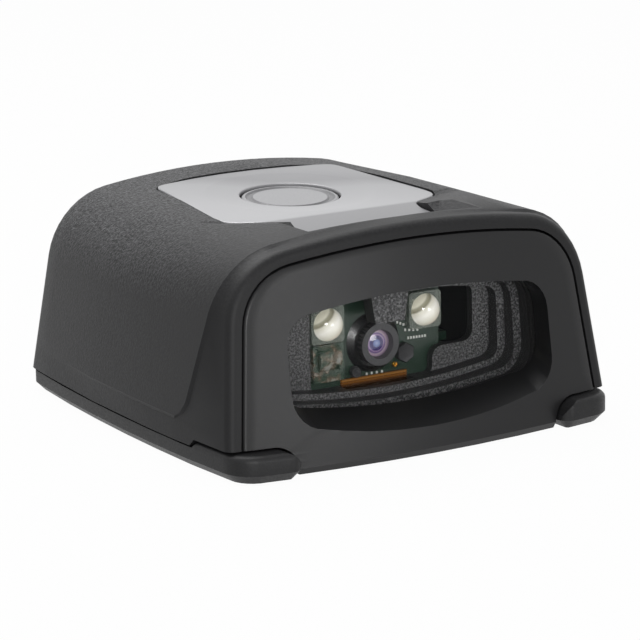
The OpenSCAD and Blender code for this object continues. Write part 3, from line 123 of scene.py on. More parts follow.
# Room: its light rises smoothly toward the bright side
BRIGHT_SIDE = (0.45, 0.74, 0.5)
RISE_FROM = 0.1
RISE_TO = 0.95
ROOM_DARK = 0.06
ROOM_BRIGHT = 0.85
world = bpy.data.worlds.new("studio_room")
bpy.context.scene.world = world
world.use_nodes = True
tree = world.node_tree
tree.nodes.clear()
heading = fit(tree, "ShaderNodeTexCoord").outputs["Generated"]
toward = fit(tree, "ShaderNodeVectorMath", {0: heading, 1: BRIGHT_SIDE}, operation="DOT_PRODUCT")
level = fit(tree, "ShaderNodeMapRange", {
    "Value": toward.outputs["Value"], "From Min": RISE_FROM, "From Max": RISE_TO,
    "To Min": ROOM_DARK, "To Max": ROOM_BRIGHT})
room = fit(tree, "ShaderNodeBackground", {"Color": ink("#f4f4f5"), "Strength": level.outputs[0]})
white = fit(tree, "ShaderNodeBackground", {"Color": PAGE, "Strength": 1})
both = fit(tree, "ShaderNodeMixShader", {0: page_rays(tree), 1: room.outputs[0], 2: white.outputs[0]})
fit(tree, "ShaderNodeOutputWorld", {"Surface": both.outputs[0]})

# Lamps: round soft boxes, as name, place, aim, width and watts
LAMPS = (
    ("softbox_above", (-0.05, 0.12, 0.42), (0, 0, 0.02), 0.42, 2.4),
    ("fill_in_front", (0.1, -0.5, 0.05), (0, 0, 0.015), 0.2, 0.6),
    ("fill_at_camera", (-0.29, -0.5, 0.15), (0, 0, 0.015), 0.16, 1.3),
)
for name, place, aim, width, watts in LAMPS:
    bpy.ops.object.light_add(type="AREA", location=place)
    lamp = bpy.context.object
    lamp.name = name
    lamp.data.shape = "DISK"
    lamp.data.size = width
    lamp.data.energy = watts
    lamp.rotation_euler = (Vector(aim) - Vector(place)).to_track_quat("-Z", "Y").to_euler()

# Base: a black cast tray with a raised foot at each front corner, held by screws from below.
# The casting is painted in a fine structured black that breaks up the light.
# Its lower edge is bevelled.
JOIN_WITHIN = 0.002 * MM
# Levels of a random relief between which its colour goes from pit to crest
PIT, CREST = 0.35, 0.75
# Levels of a random relief between which its gloss changes
LOW, HIGH = 0.3, 0.7
GLOSS_SWING = 0.08


def merged_copy(node, name, smooth_deg):
    """A copy of a node's loose triangles as one joined skin, shaded round across its soft edges."""
    skin = bpy.data.objects.new(name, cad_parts[node].data.copy())
    skin.data.materials.clear()
    bpy.context.scene.collection.objects.link(skin)
    bpy.ops.object.select_all(action="DESELECT")
    skin.select_set(True)
    bpy.context.view_layer.objects.active = skin
    bpy.ops.object.mode_set(mode="EDIT")
    bpy.ops.mesh.select_all(action="SELECT")
    bpy.ops.mesh.customdata_custom_splitnormals_clear()
    bpy.ops.mesh.remove_doubles(threshold=JOIN_WITHIN)
    bpy.ops.mesh.dissolve_degenerate(threshold=JOIN_WITHIN)
    bpy.ops.object.mode_set(mode="OBJECT")
    bpy.ops.object.shade_smooth_by_angle(angle=math.radians(smooth_deg))
    return skin


def moulded(name, dark, light, grain_mm, depth_mm, rough, metal=0.0, shine=0.5):
    """A grained skin: a random relief whose crests are lighter and a little smoother than its pits."""
    material, tree = blank_material(name)
    coords = fit(tree, "ShaderNodeTexCoord").outputs["Object"]
    grain = fit(tree, "ShaderNodeTexNoise", {
        "Vector": coords, "Scale": 1 / (grain_mm * MM), "Detail": 3, "Roughness": 0.6}).outputs["Fac"]
    specks = fit(tree, "ShaderNodeValToRGB", {"Fac": grain}, stops=((PIT, dark), (CREST, light)))
    gloss = fit(tree, "ShaderNodeMapRange", {
        "Value": grain, "From Min": LOW, "From Max": HIGH,
        "To Min": rough + GLOSS_SWING, "To Max": rough - GLOSS_SWING})
    relief = fit(tree, "ShaderNodeBump", {"Height": grain, "Strength": 1.0, "Distance": depth_mm * MM})
    skin = fit(tree, "ShaderNodeBsdfPrincipled", {
        "Base Color": specks.outputs["Color"], "Roughness": gloss.outputs[0], "Normal": relief.outputs[0],
        "IOR": 1.5, "Metallic": metal, "Specular IOR Level": shine})
    fit(tree, "ShaderNodeOutputMaterial", {"Surface": skin.outputs[0]})
    return material


def place_on(piece, body, nodes, slot_name, *materials):
    """Gives a finished piece its materials and its body, and hides the nodes it stands for; the slot name
    is not used.
    """
    for material in materials:
        piece.data.materials.append(material)
    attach(piece, body)
    if nodes:
        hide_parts(*nodes)


base_paint = moulded("structured_black_paint", "#171718", "#1e1e1f",
                     grain_mm=0.25, depth_mm=0.015, rough=0.46, shine=0.26)
base_tray = merged_copy("base_plate", "base_tray", smooth_deg=30)
place_on(base_tray, "housing", ["base_plate"], "base_metal", base_paint)


# Rubber: the cord seal round the base and the gasket behind the window.
# Black silicone, moulded as a cord and cut from sheet, with a dull skin.
def dress(nodes, material):
    """Gives nodes that keep their own shape a material."""
    for node in nodes:
        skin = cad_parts[node].data
        skin.materials.clear()
        skin.materials.append(material)


rubber = moulded("black_silicone_rubber", "#141414", "#1b1b1b", grain_mm=0.3, depth_mm=0.01, rough=0.7)
dress(["base_seal", "window_gasket"], rubber)

# Boards: decoder, imager and key boards of green glass-epoxy laminate, screwed to their posts.
# The solder mask is a glossy green lacquer over faint copper tracks.
LAND_LENGTH = 1.7 * MM
LAND_ROW = 0.62 * MM
LAND_GAP = 0.12 * MM
board_green, tree = blank_material("green_solder_mask")
coords = fit(tree, "ShaderNodeTexCoord").outputs["Object"]
tracks = fit(tree, "ShaderNodeTexBrick", {
    "Vector": coords, "Scale": 1.0,
    "Brick Width": LAND_LENGTH, "Row Height": LAND_ROW, "Mortar Size": LAND_GAP,
    "Color1": ink("#274636"), "Color2": ink("#32523f"), "Mortar": ink("#1b3325")})
skin = fit(tree, "ShaderNodeBsdfPrincipled", {
    "Base Color": tracks.outputs["Color"], "Roughness": 0.32, "IOR": 1.5,
    "Coat Weight": 0.4, "Coat Roughness": 0.15})
fit(tree, "ShaderNodeOutputMaterial", {"Surface": skin.outputs[0]})
dress(["decode_board", "illumination_board", "sensor_board", "switch_board"], board_green)

# Chips: processor, memory, sounder, key switch, sensor package and connector insert.
# Black filled epoxy and nylon, moulded with a fine matt skin.
epoxy = moulded("black_moulded_epoxy", "#1a1a1b", "#242425", grain_mm=0.15, depth_mm=0.008, rough=0.55)
dress(["processor", "memory_chip", "beeper", "tact_switch", "image_sensor", "connector_insert"], epoxy)

# Board screws: small pan heads of bright zinc-plated steel, driven into the posts.
# The plating leaves a fine mottle.
zinc = moulded("zinc_plated_steel", "#a9abad", "#bcbec0", grain_mm=0.2, depth_mm=0.002, rough=0.34, metal=1)
dress(["board_screws", "engine_screws", "switch_screws"], zinc)

# Flex and its socket: copper tracks between amber polyimide films, gripped by a cream nylon socket.
# Its lower part is darkened with painted shade, bands of painted highlight lie near its folded edge, and
# fine tracks run along it.
# The plunger and the lead of the key's switch have the cream of the socket.
TRACK_PITCH = 0.5 * MM
# Distance between two bands of the wave texture at a scale of 1
WAVE_PITCH = math.pi / 10
FOLD_LOW = 6.2 * MM
FOLD_TOP = 7.4 * MM
polyimide, tree = blank_material("amber_polyimide_film")
coords = fit(tree, "ShaderNodeTexCoord").outputs["Object"]
lines = fit(tree, "ShaderNodeTexWave", {
    "Vector": coords, "Scale": WAVE_PITCH / TRACK_PITCH, "Distortion": 0},
    wave_type="BANDS", bands_direction="X")
tracks = fit(tree, "ShaderNodeValToRGB", {"Fac": lines.outputs["Fac"]}, stops=(
    (0, "#f2eee8"), (1, "#ffffff")))
height = fit(tree, "ShaderNodeSeparateXYZ", {"Vector": coords}).outputs["Z"]
rise = fit(tree, "ShaderNodeMapRange", {"Value": height, "From Min": FOLD_LOW, "From Max": FOLD_TOP})
# Painted shade low on the flex and bands of painted highlight near its folded edge
flex_painted_shade_and_highlight = fit(tree, "ShaderNodeValToRGB", {"Fac": rise.outputs[0]}, stops=(
    (0, "#3a2206"), (0.3, "#5a3408"), (0.5, "#a4661c"), (0.62, "#6e3e0e"),
    (0.75, "#c88a34"), (0.9, "#8a581c"), (1, "#4a3010")))
amber = fit(tree, "ShaderNodeMix", {
    "Factor": 1.0, "A": flex_painted_shade_and_highlight.outputs["Color"], "B": tracks.outputs["Color"]},
    data_type="RGBA", blend_type="MULTIPLY")
skin = fit(tree, "ShaderNodeBsdfPrincipled", {
    "Base Color": amber.outputs["Result"], "Roughness": 0.25, "IOR": 1.7, "Metallic": 0.2})
fit(tree, "ShaderNodeOutputMaterial", {"Surface": skin.outputs[0]})
dress(["flex_cable"], polyimide)
nylon = moulded("cream_nylon", "#c9c4b4", "#d6d1c2", grain_mm=0.2, depth_mm=0.006, rough=0.5)
dress(["flex_socket", "switch_plunger", "switch_lead"], nylon)

# Lens holder: black anodised barrel with a matt face and a dark throat, pushed into the imager's block.
# The face is dull from a bead blast, and the flange behind it is turned smooth and darkened with painted
# shade.
RING_BACK = -16.9 * MM
holder_black = moulded("matt_black_anodised_aluminium", "#4a4a4c", "#565658",
                       grain_mm=0.12, depth_mm=0.004, rough=0.5)
# Painted shade: the flange's darker colour stands in for the shadow behind the ring
flange_painted_shade = moulded("turned_black_anodised_aluminium_painted_shade", "#161617", "#1e1e1f",
                       grain_mm=0.12, depth_mm=0.002, rough=0.3)
barrel = merged_copy("lens_barrel", "lens_holder", smooth_deg=30)
place_on(barrel, "housing", ["lens_barrel"], "lens_black", holder_black, flange_painted_shade)
for face in barrel.data.polygons:
    face.material_index = int(face.center.y > RING_BACK)

# Front lens: polished glass with a coating that looks purple and blue.
# Pink rings of the lens stack show behind it, as fields of colour by distance from a point beside the axis.
LENS_EYE = (-0.3 * MM, 0, 11.8 * MM)
RINGS_EDGE = 2 * MM
ACROSS_AXIS = (1, 0, 1)
coated, tree = blank_material("coated_lens_glass")
coords = fit(tree, "ShaderNodeTexCoord").outputs["Object"]
away = fit(tree, "ShaderNodeVectorMath", {0: coords, 1: LENS_EYE}, operation="SUBTRACT")
flat = fit(tree, "ShaderNodeVectorMath", {0: away.outputs[0], 1: ACROSS_AXIS}, operation="MULTIPLY")
radius = fit(tree, "ShaderNodeVectorMath", {0: flat.outputs[0]}, operation="LENGTH")
span = fit(tree, "ShaderNodeMapRange", {
    "Value": radius.outputs["Value"], "From Min": 0, "From Max": RINGS_EDGE})
rings = fit(tree, "ShaderNodeValToRGB", {"Fac": span.outputs[0]}, stops=(
    (0, "#b4c2e6"), (0.2, "#8292cc"), (0.3, "#3a2f6e"), (0.46, "#42377c"), (0.55, "#b59bc0"),
    (0.64, "#6d5290"), (0.74, "#c8b4c0"), (0.86, "#a58fa4"), (1, "#7a6a80")))
skin = fit(tree, "ShaderNodeBsdfPrincipled", {
    "Base Color": rings.outputs["Color"], "Roughness": 0.06, "IOR": 1.6,
    "Coat Weight": 1, "Coat Roughness": 0.02})
fit(tree, "ShaderNodeOutputMaterial", {"Surface": skin.outputs[0]})
dress(["lens_glass"], coated)

# Illumination domes: clear acrylic domes on square frames, stuck to the front board over the emitters.
# The frames let the green board through, and the domes get a painted glow of pale light, an emission, and a
# band of painted reflection of the tunnel's dark roof.
DOME_X = 7.4 * MM
DOME_Z = 15.15 * MM
DOME_EDGE = 2.15 * MM
DOME_FOOT = -16.81 * MM
# Strength of the painted glow, an emission that stands in for light the domes gather from in front
DOME_PAINTED_GLOW = 0.4
# Way to the dark roof of the tunnel, whose reflection is painted in the domes as a dark band
PAINTED_ROOF_REFLECTION_SIDE = (-0.62, 0, 0.78)
FRAME_CLOUD = 1.5 * MM
frame_clear, tree = blank_material("clear_acrylic_frame")
coords = fit(tree, "ShaderNodeTexCoord").outputs["Object"]
cloud = fit(tree, "ShaderNodeTexNoise", {"Vector": coords, "Scale": 1 / FRAME_CLOUD, "Detail": 2})
tint = fit(tree, "ShaderNodeValToRGB", {"Fac": cloud.outputs["Fac"]}, stops=(
    (0, "#8f9a90"), (1, "#b4bdb2")))
skin = fit(tree, "ShaderNodeBsdfPrincipled", {
    "Base Color": tint.outputs["Color"], "Roughness": 0.1, "IOR": 1.49, "Alpha": 0.4,
    "Coat Weight": 0.6, "Coat Roughness": 0.05})
fit(tree, "ShaderNodeOutputMaterial", {"Surface": skin.outputs[0]})
for side, x in (("left", -DOME_X), ("right", DOME_X)):
    pearl, tree = blank_material("polished_acrylic_dome_" + side)
    coords = fit(tree, "ShaderNodeTexCoord").outputs["Object"]
    away = fit(tree, "ShaderNodeVectorMath", {0: coords, 1: (x, 0, DOME_Z)}, operation="SUBTRACT")
    slant = fit(tree, "ShaderNodeVectorMath", {0: away.outputs[0], 1: PAINTED_ROOF_REFLECTION_SIDE}, operation="DOT_PRODUCT")
    span = fit(tree, "ShaderNodeMapRange", {
        "Value": slant.outputs["Value"], "From Min": -DOME_EDGE, "From Max": DOME_EDGE})
    # Cream body with a dark band of painted reflection, also used as the colour of the painted glow
    dome_colour_and_painted_reflection = fit(tree, "ShaderNodeValToRGB", {"Fac": span.outputs[0]}, stops=(
        (0, "#e2c4a6"), (0.12, "#efe4d2"), (0.3, "#e9e6d6"), (0.55, "#f6f4ea"), (0.72, "#dedbcb"),
        (0.77, "#8d8a76"), (0.84, "#a3a08c"), (0.88, "#dcd9c6"), (1, "#cfccb8")))
    skin = fit(tree, "ShaderNodeBsdfPrincipled", {
        "Base Color": dome_colour_and_painted_reflection.outputs["Color"], "Roughness": 0.08, "IOR": 1.49,
        "Coat Weight": 1, "Coat Roughness": 0.03,
        "Emission Color": dome_colour_and_painted_reflection.outputs["Color"], "Emission Strength": DOME_PAINTED_GLOW})
    fit(tree, "ShaderNodeOutputMaterial", {"Surface": skin.outputs[0]})
    dome = merged_copy("illumination_lens_" + side, "dome_" + side, smooth_deg=35)
    place_on(dome, "housing", ["illumination_lens_" + side], "clear_lens", frame_clear, pearl)
    for face in dome.data.polygons:
        off = Vector((face.center.x - x, face.center.z - DOME_Z)).length
        face.material_index = int(face.center.y < DOME_FOOT and off < DOME_EDGE)

# Aiming block: clear acrylic block with a bar lens across its front, under the left dome.
# Its clear body shows the board, mottled by the light that its faces bend.
BLOCK_MOTTLE = 1.2 * MM
block_clear, tree = blank_material("clear_acrylic_block")
coords = fit(tree, "ShaderNodeTexCoord").outputs["Object"]
cloud = fit(tree, "ShaderNodeTexNoise", {"Vector": coords, "Scale": 1 / BLOCK_MOTTLE, "Detail": 2})
tint = fit(tree, "ShaderNodeValToRGB", {"Fac": cloud.outputs["Fac"]}, stops=(
    (0.35, "#4e6656"), (0.48, "#6f8574"), (0.56, "#a58f78"), (0.7, "#e4e8dc")))
skin = fit(tree, "ShaderNodeBsdfPrincipled", {
    "Base Color": tint.outputs["Color"], "Roughness": 0.08, "IOR": 1.49, "Alpha": 0.5,
    "Coat Weight": 0.8, "Coat Roughness": 0.04})
fit(tree, "ShaderNodeOutputMaterial", {"Surface": skin.outputs[0]})
dress(["aiming_lens"], block_clear)

# Emitters: packages filled with pale yellow phosphor under the domes, and a grey ceramic one for aiming.
# They are soldered to the front board and lie in the hollows of the clear parts.
phosphor = moulded("pale_phosphor", "#e8e0b8", "#f3eed4", grain_mm=0.2, depth_mm=0.004, rough=0.6)
dress(["led_left", "led_right"], phosphor)
ceramic = moulded("grey_ceramic", "#5f665f", "#767c74", grain_mm=0.3, depth_mm=0.004, rough=0.6)
dress(["aiming_led"], ceramic)

# Solder joints: rows of small tin fillets on the front board, right of the lens and along the flex.
# One fillet is made and copied, and each row is drawn from its first to its last joint.
JOINT = Vector((0.26, 0.2, 0.36)) * MM
JOINT_ROUND = 0.06 * MM
# Share of a joint's depth from the board's face out to the joint's middle
JOINT_PROUD = 0.3
BOARD_Y = -15.6 * MM
SOFT_DEG = 30
# Rows: number of joints, and x and z of the first and the last in millimetres
JOINT_ROWS = (
    (7, (5.46, 11.41), (8.08, 11.35)),
    (4, (5.0, 12.55), (6.9, 12.35)),
    (3, (3.8, 13.75), (4.75, 13.3)),
    (4, (-1.0, 7.52), (1.35, 7.52)),
)
tin = moulded("bright_tin_solder", "#e2e2de", "#f2f2ee", grain_mm=0.1, depth_mm=0.01, rough=0.3, metal=0.1)
bpy.ops.object.select_all(action="DESELECT")
bpy.ops.mesh.primitive_cube_add(size=1)
fillet = bpy.context.object
bpy.ops.object.mode_set(mode="EDIT")
bpy.ops.mesh.select_all(action="SELECT")
bpy.ops.transform.resize(value=JOINT)
bpy.ops.mesh.bevel(offset=JOINT_ROUND, segments=2, affect="EDGES")
bpy.ops.object.mode_set(mode="OBJECT")
bpy.ops.object.shade_smooth_by_angle(angle=math.radians(SOFT_DEG))
joints = []
for count, first, last in JOINT_ROWS:
    for k in range(count):
        x, z = (a + (b - a) * k / (count - 1) for a, b in zip(first, last))
        joint = bpy.data.objects.new("solder_joint", fillet.data.copy())
        joint.data.transform(Matrix.Translation((x * MM, BOARD_Y - JOINT_PROUD * JOINT.y, z * MM)))
        bpy.context.scene.collection.objects.link(joint)
        joints.append(joint)
bpy.data.objects.remove(fillet)
bpy.ops.object.select_all(action="DESELECT")
for joint in joints:
    joint.select_set(True)
bpy.context.view_layer.objects.active = joints[0]
bpy.ops.object.join()
joints[0].name = "solder_joints"
place_on(joints[0], "housing", [], "connector_metal", tin)

# Lock of the lens: a six-sided lug beside the ring and a small round knob at its other side.
# Both are moulded in black nylon, with a sunk middle, and stand on the front board.
# Y of the normal of a face that points at the window
FORWARD = -0.95
QUARTER_TURN = math.radians(-90)


def turned_stud(name, sides, radius, length, rounding, at):
    """A prism or disc that stands out from the board, with a rounded front edge and a sunk middle."""
    bpy.ops.object.select_all(action="DESELECT")
    bpy.ops.mesh.primitive_cylinder_add(vertices=sides, radius=radius, depth=length)
    stud = bpy.context.object
    stud.name = name
    bpy.ops.object.mode_set(mode="EDIT")
    bpy.ops.mesh.select_all(action="SELECT")
    bpy.ops.transform.rotate(value=QUARTER_TURN, orient_axis="X", center_override=(0, 0, 0))
    bpy.ops.object.mode_set(mode="OBJECT")
    near_front = min(v.co.y for v in stud.data.vertices) + rounding / 4
    for face in stud.data.polygons:
        face.select = face.center.y < near_front
    bpy.ops.object.mode_set(mode="EDIT")
    bpy.ops.mesh.select_mode(type="FACE")
    bpy.ops.mesh.bevel(offset=rounding, segments=3, affect="EDGES")
    bpy.ops.object.mode_set(mode="OBJECT")
    for face in stud.data.polygons:
        face.select = face.center.y < near_front and face.normal.y < FORWARD
    bpy.ops.object.mode_set(mode="EDIT")
    bpy.ops.mesh.inset(thickness=radius / 3)
    bpy.ops.transform.translate(value=(0, rounding, 0))
    bpy.ops.mesh.select_all(action="SELECT")
    bpy.ops.transform.translate(value=at)
    bpy.ops.object.mode_set(mode="OBJECT")
    bpy.ops.object.shade_smooth_by_angle(angle=math.radians(SOFT_DEG))
    return stud


lock_black = moulded("black_moulded_nylon", "#2c2c2e", "#3a3a3c", grain_mm=0.2, depth_mm=0.01, rough=0.5)
lug = turned_stud("lens_lug", sides=6, radius=1.4 * MM, length=1.0 * MM, rounding=0.2 * MM,
                  at=(4.6 * MM, BOARD_Y - 0.48 * MM, 9.7 * MM))
place_on(lug, "housing", [], "lens_black", lock_black)
knob = turned_stud("lens_knob", sides=20, radius=0.72 * MM, length=0.9 * MM, rounding=0.12 * MM,
                   at=(-2.95 * MM, BOARD_Y - 0.43 * MM, 8.15 * MM))
place_on(knob, "housing", [], "lens_black", lock_black)

# Test pin: a gilt pin head below the lens, to the right.
# Turned from copper alloy, plated and pressed into the front board.
gilt = moulded("gilt_copper_alloy", "#c79a45", "#d4a950", grain_mm=0.3, depth_mm=0.002, rough=0.25, metal=1)
pin = turned_stud("test_pin", sides=16, radius=0.38 * MM, length=0.5 * MM, rounding=0.14 * MM,
                  at=(3.2 * MM, BOARD_Y - 0.23 * MM, 8.25 * MM))
place_on(pin, "housing", [], "gilt_contact", gilt)

# Imager block and light tunnel: black plastic with a coarse dull grain that swallows stray light.
# The stepped ridges of the tunnel and its back plate are one moulding.
# The treads that face the window are speckled, and the walls between them are darkened with painted shade.
BAFFLE_GRAIN = 0.28 * MM
BAFFLE_DEPTH = 0.1 * MM
# Y of a face's normal, for a tread that faces the window and for a wall beside it that gets painted shade
TREAD_Y, WALL_Y = -0.95, -0.5
baffle_black, tree = blank_material("coarse_grained_black_plastic")
coords = fit(tree, "ShaderNodeTexCoord").outputs
facing = fit(tree, "ShaderNodeSeparateXYZ", {"Vector": coords["Normal"]})
painted_wall_shade_mix = fit(tree, "ShaderNodeMapRange", {
    "Value": facing.outputs["Y"], "From Min": TREAD_Y, "From Max": WALL_Y, "To Min": 1, "To Max": 0})
grain = fit(tree, "ShaderNodeTexNoise", {
    "Vector": coords["Object"], "Scale": 1 / BAFFLE_GRAIN, "Detail": 2}).outputs["Fac"]
specks = fit(tree, "ShaderNodeValToRGB", {"Fac": grain}, stops=((0.42, "#2a2a2b"), (0.72, "#828283")))
# Walls take a flat dark colour as painted shade, and treads keep their speckle
tint = fit(tree, "ShaderNodeMix", {
    "Factor": painted_wall_shade_mix.outputs[0], "A": ink("#242425"), "B": specks.outputs["Color"]}, data_type="RGBA")
relief = fit(tree, "ShaderNodeBump", {"Height": grain, "Strength": 1.0, "Distance": BAFFLE_DEPTH})
skin = fit(tree, "ShaderNodeBsdfPrincipled", {
    "Base Color": tint.outputs["Result"], "Roughness": 0.48, "Normal": relief.outputs[0], "IOR": 1.5})
fit(tree, "ShaderNodeOutputMaterial", {"Surface": skin.outputs[0]})
tunnel = merged_copy("light_baffle", "light_tunnel", smooth_deg=30)
place_on(tunnel, "housing", ["light_baffle"], "baffle_plastic", baffle_black)
dress(["engine_chassis"], baffle_black)

# Window: a flat acrylic pane with a coating against reflections, held behind the bezel.
# Almost nothing of it shows but a faint shine.
PANE_HAZE = 6 * MM
pane, tree = blank_material("coated_acrylic_pane")
coords = fit(tree, "ShaderNodeTexCoord").outputs["Object"]
haze = fit(tree, "ShaderNodeTexNoise", {"Vector": coords, "Scale": 1 / PANE_HAZE, "Detail": 2})
gloss = fit(tree, "ShaderNodeMapRange", {
    "Value": haze.outputs["Fac"], "From Min": LOW, "From Max": HIGH, "To Min": 0.03, "To Max": 0.08})
skin = fit(tree, "ShaderNodeBsdfPrincipled", {
    "Base Color": ink("#16181a"), "Roughness": gloss.outputs[0], "IOR": 1.49, "Alpha": 0.06})
fit(tree, "ShaderNodeOutputMaterial", {"Surface": skin.outputs[0]})
dress(["exit_window"], pane)

# Bezel: smooth black front frame with a sloped sill, moulded in ABS and pushed into the housing's mouth.
# Its skin is satin, with hardly any grain.
satin_black = moulded("satin_black_abs", "#181819", "#1b1b1c",
                      grain_mm=0.12, depth_mm=0.0006, rough=0.36, shine=0.26)
front_frame = merged_copy("front_bezel", "front_frame", smooth_deg=35)
place_on(front_frame, "housing", ["front_bezel"], "bezel_plastic", satin_black)

# Housing: crowned black shell of PC/ABS, moulded in a spark-eroded tool.
# The grain is deep on the top and runs out down the drafted sides and toward the smooth front rim.
# It is drawn as coarse as it needs to show.
SHELL_GRAIN = 0.34 * MM
SHELL_DEPTH = 0.32 * MM
GRAIN_FRONT = -24 * MM
GRAIN_FULL = 6 * MM
# Z of a face's normal, for a side and for the top
SIDE_Z, TOP_Z = 0.15, 0.7
# Share of the grain that is left at the front and on the sides
FRONT_GRAIN = 0.08
SIDE_GRAIN = 0.15
shell_black, tree = blank_material("spark_eroded_black_plastic")
coords = fit(tree, "ShaderNodeTexCoord").outputs
along = fit(tree, "ShaderNodeSeparateXYZ", {"Vector": coords["Object"]})
facing = fit(tree, "ShaderNodeSeparateXYZ", {"Vector": coords["Normal"]})
rear = fit(tree, "ShaderNodeMapRange", {
    "Value": along.outputs["Y"], "From Min": GRAIN_FRONT, "From Max": GRAIN_FULL,
    "To Min": FRONT_GRAIN, "To Max": 1.0})
upward = fit(tree, "ShaderNodeMapRange", {
    "Value": facing.outputs["Z"], "From Min": SIDE_Z, "From Max": TOP_Z,
    "To Min": SIDE_GRAIN, "To Max": 1.0})
share = fit(tree, "ShaderNodeMath", {0: rear.outputs[0], 1: upward.outputs[0]}, operation="MULTIPLY")
grain = fit(tree, "ShaderNodeTexNoise", {
    "Vector": coords["Object"], "Scale": 1 / SHELL_GRAIN, "Detail": 3, "Roughness": 0.6}).outputs["Fac"]
specks = fit(tree, "ShaderNodeValToRGB", {"Fac": grain}, stops=((0.38, "#0c0c0d"), (0.7, "#58585a")))
tint = fit(tree, "ShaderNodeMix", {
    "Factor": share.outputs[0], "A": ink("#1c1c1d"), "B": specks.outputs["Color"]}, data_type="RGBA")
depth = fit(tree, "ShaderNodeMath", {0: grain, 1: share.outputs[0]}, operation="MULTIPLY")
relief = fit(tree, "ShaderNodeBump", {"Height": depth.outputs[0], "Strength": 1.0, "Distance": SHELL_DEPTH})
skin = fit(tree, "ShaderNodeBsdfPrincipled", {
    "Base Color": tint.outputs["Result"], "Roughness": 0.48, "Normal": relief.outputs[0], "IOR": 1.5,
    "Specular IOR Level": 0.18})
fit(tree, "ShaderNodeOutputMaterial", {"Surface": skin.outputs[0]})

# The edge of the label's seat is drawn down nearly flush with the label,
# and the ends of the slope at the label's front corners run out into the crown
LABEL_Z = 28.1 * MM
LABEL_FALL = math.tan(math.radians(2.5))
SEAT_FRONT = -6.6 * MM
SEAT_REAR = 19.2 * MM
SEAT_HALF = 17.0 * MM
SEAT_TAPER = 0.113
SEAT_LIP = 0.15 * MM
CORNER_Y = -5.8 * MM
CORNER_SINK = 0.25 * MM
SLOPE_END_X = (18.8 * MM, 19.6 * MM)
SLOPE_END_Y = (-5.2 * MM, -4.7 * MM)
SLOPE_END_LOW = 27.5 * MM
CROWN_THERE = 28.03 * MM
shell = merged_copy("top_housing", "housing_shell", smooth_deg=30)
for spot in shell.data.vertices:
    off, back = abs(spot.co.x), spot.co.y
    half = SEAT_HALF - SEAT_TAPER * (back - SEAT_FRONT)
    lip = LABEL_Z + LABEL_FALL * back + SEAT_LIP - (CORNER_SINK if back < CORNER_Y else 0)
    if SEAT_FRONT < back < SEAT_REAR and off < half and spot.co.z > lip:
        spot.co.z = lip
    at_slope_end = SLOPE_END_X[0] < off < SLOPE_END_X[1] and SLOPE_END_Y[0] < back < SLOPE_END_Y[1]
    if at_slope_end and SLOPE_END_LOW < spot.co.z < CROWN_THERE:
        spot.co.z = CROWN_THERE
place_on(shell, "housing", ["top_housing"], "housing_plastic", shell_black)

# Label: silver-grey cover plate let into the top, with a finger dish and a bent front strip.
# Polycarbonate, painted satin and left bare of any print.
# A painted shade darkens it toward the far right corner, and the strip is a darker grey.
LEVEL_DEG = 0.2
STRIP_Y = -9 * MM
STRIP_TURN = 0.8 * MM
PAINTED_SHADE_WAY = (0.5, 0.87, 0)
PAINTED_SHADE_FROM = -10 * MM
PAINTED_SHADE_TO = 17 * MM
PAINT_MIST = 0.15 * MM
MIST_DEPTH = 0.002 * MM


def rounded_edges(piece, width, edge_deg):
    """Rounds the sharp edges of a piece with a bevel that is then applied."""
    bpy.ops.object.select_all(action="DESELECT")
    piece.select_set(True)
    bpy.context.view_layer.objects.active = piece
    bpy.ops.object.mode_set(mode="EDIT")
    bpy.ops.mesh.select_all(action="SELECT")
    bpy.ops.mesh.dissolve_limited(angle_limit=math.radians(LEVEL_DEG))
    bpy.ops.object.mode_set(mode="OBJECT")
    bevel = piece.modifiers.new("rounding", "BEVEL")
    bevel.width = width
    bevel.segments = 2
    bevel.limit_method = "ANGLE"
    bevel.angle_limit = math.radians(edge_deg)
    bpy.ops.object.modifier_apply(modifier=bevel.name)
    bpy.ops.object.shade_smooth_by_angle(angle=math.radians(edge_deg))


silver, tree = blank_material("satin_silver_paint")
coords = fit(tree, "ShaderNodeTexCoord").outputs["Object"]
# Painted shade: the colour darkens toward the far right corner
slant = fit(tree, "ShaderNodeVectorMath", {0: coords, 1: PAINTED_SHADE_WAY}, operation="DOT_PRODUCT")
shade = fit(tree, "ShaderNodeMapRange", {
    "Value": slant.outputs["Value"], "From Min": PAINTED_SHADE_FROM, "From Max": PAINTED_SHADE_TO})
painted_shade_fade = fit(tree, "ShaderNodeValToRGB", {"Fac": shade.outputs[0]}, stops=(
    (0, "#9e9ea0"), (0.22, "#9c9c9e"), (0.45, "#959597"), (0.67, "#909092"),
    (0.81, "#7d7d7f"), (1, "#858587")))
along = fit(tree, "ShaderNodeSeparateXYZ", {"Vector": coords})
bend = fit(tree, "ShaderNodeMapRange", {
    "Value": along.outputs["Y"], "From Min": STRIP_Y, "From Max": STRIP_Y + STRIP_TURN})
tint = fit(tree, "ShaderNodeMix", {
    "Factor": bend.outputs[0], "A": ink("#7a7a7c"), "B": painted_shade_fade.outputs["Color"]}, data_type="RGBA")
mist = fit(tree, "ShaderNodeTexNoise", {"Vector": coords, "Scale": 1 / PAINT_MIST, "Detail": 2})
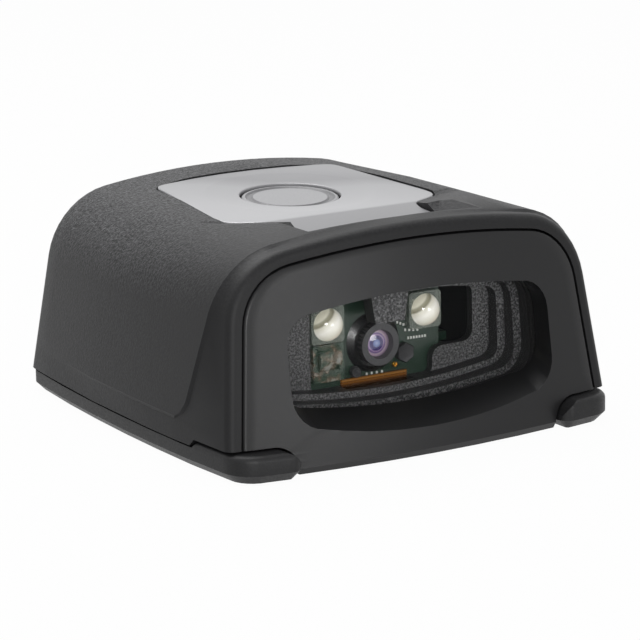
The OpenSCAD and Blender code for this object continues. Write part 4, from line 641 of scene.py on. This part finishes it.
relief = fit(tree, "ShaderNodeBump", {
    "Height": mist.outputs["Fac"], "Strength": 1.0, "Distance": MIST_DEPTH})
skin = fit(tree, "ShaderNodeBsdfPrincipled", {
    "Base Color": tint.outputs["Result"], "Roughness": 0.4, "Normal": relief.outputs[0], "IOR": 1.5,
    "Metallic": 0.25})
fit(tree, "ShaderNodeOutputMaterial", {"Surface": skin.outputs[0]})
label = merged_copy("top_label", "label_plate", smooth_deg=25)
rounded_edges(label, width=0.18 * MM, edge_deg=40)
place_on(label, "housing", ["top_label"], "label_plastic", silver)

# Key: round cap of the same silver-grey plastic in the label's hole, with its ring groove darkened by
# painted shade.
# It snaps into the roof by the bead on its stem.
KEY_Y = 4.62 * MM
RING_IN = 4.95 * MM
RING_OUT = 6.0 * MM
# Z of the normal above which a face belongs to the key's top
UPWARD = 0.3
key_grey = moulded("satin_silver_cap", "#88888a", "#8e8e90",
                   grain_mm=0.15, depth_mm=0.002, rough=0.4, metal=0.25)
# Painted shade for the faces of the ring groove
ring_painted_shade = moulded("ring_groove_painted_shade", "#626264", "#6a6a6c",
                    grain_mm=0.15, depth_mm=0.002, rough=0.45)
cap = merged_copy("scan_button", "key_cap", smooth_deg=25)
place_on(cap, "scan_key", ["scan_button"], "key_plastic", key_grey, ring_painted_shade)
for face in cap.data.polygons:
    off = Vector((face.center.x, face.center.y - KEY_Y)).length
    face.material_index = int(face.normal.z > UPWARD and RING_IN < off < RING_OUT)

# Connector: drawn steel shell with a nickel skin, hexagonal jack posts and gilt contacts.
# It is soldered to the main board and shows in the pocket at the rear.
nickel = moulded("nickel_plated_steel", "#a6a39b", "#b3b0a8",
                 grain_mm=0.3, depth_mm=0.002, rough=0.28, metal=1)
dress(["connector_shell", "jack_posts"], nickel)
dress(["connector_contacts"], gilt)

# Housing screws: long pan heads of blackened steel, driven from below through the base.
# The black oxide is thin, so the steel still gives a dull metal shine.
black_oxide = moulded("black_oxide_steel", "#242425", "#303031",
                      grain_mm=0.2, depth_mm=0.004, rough=0.42, metal=0.7)
dress(["housing_screws"], black_oxide)
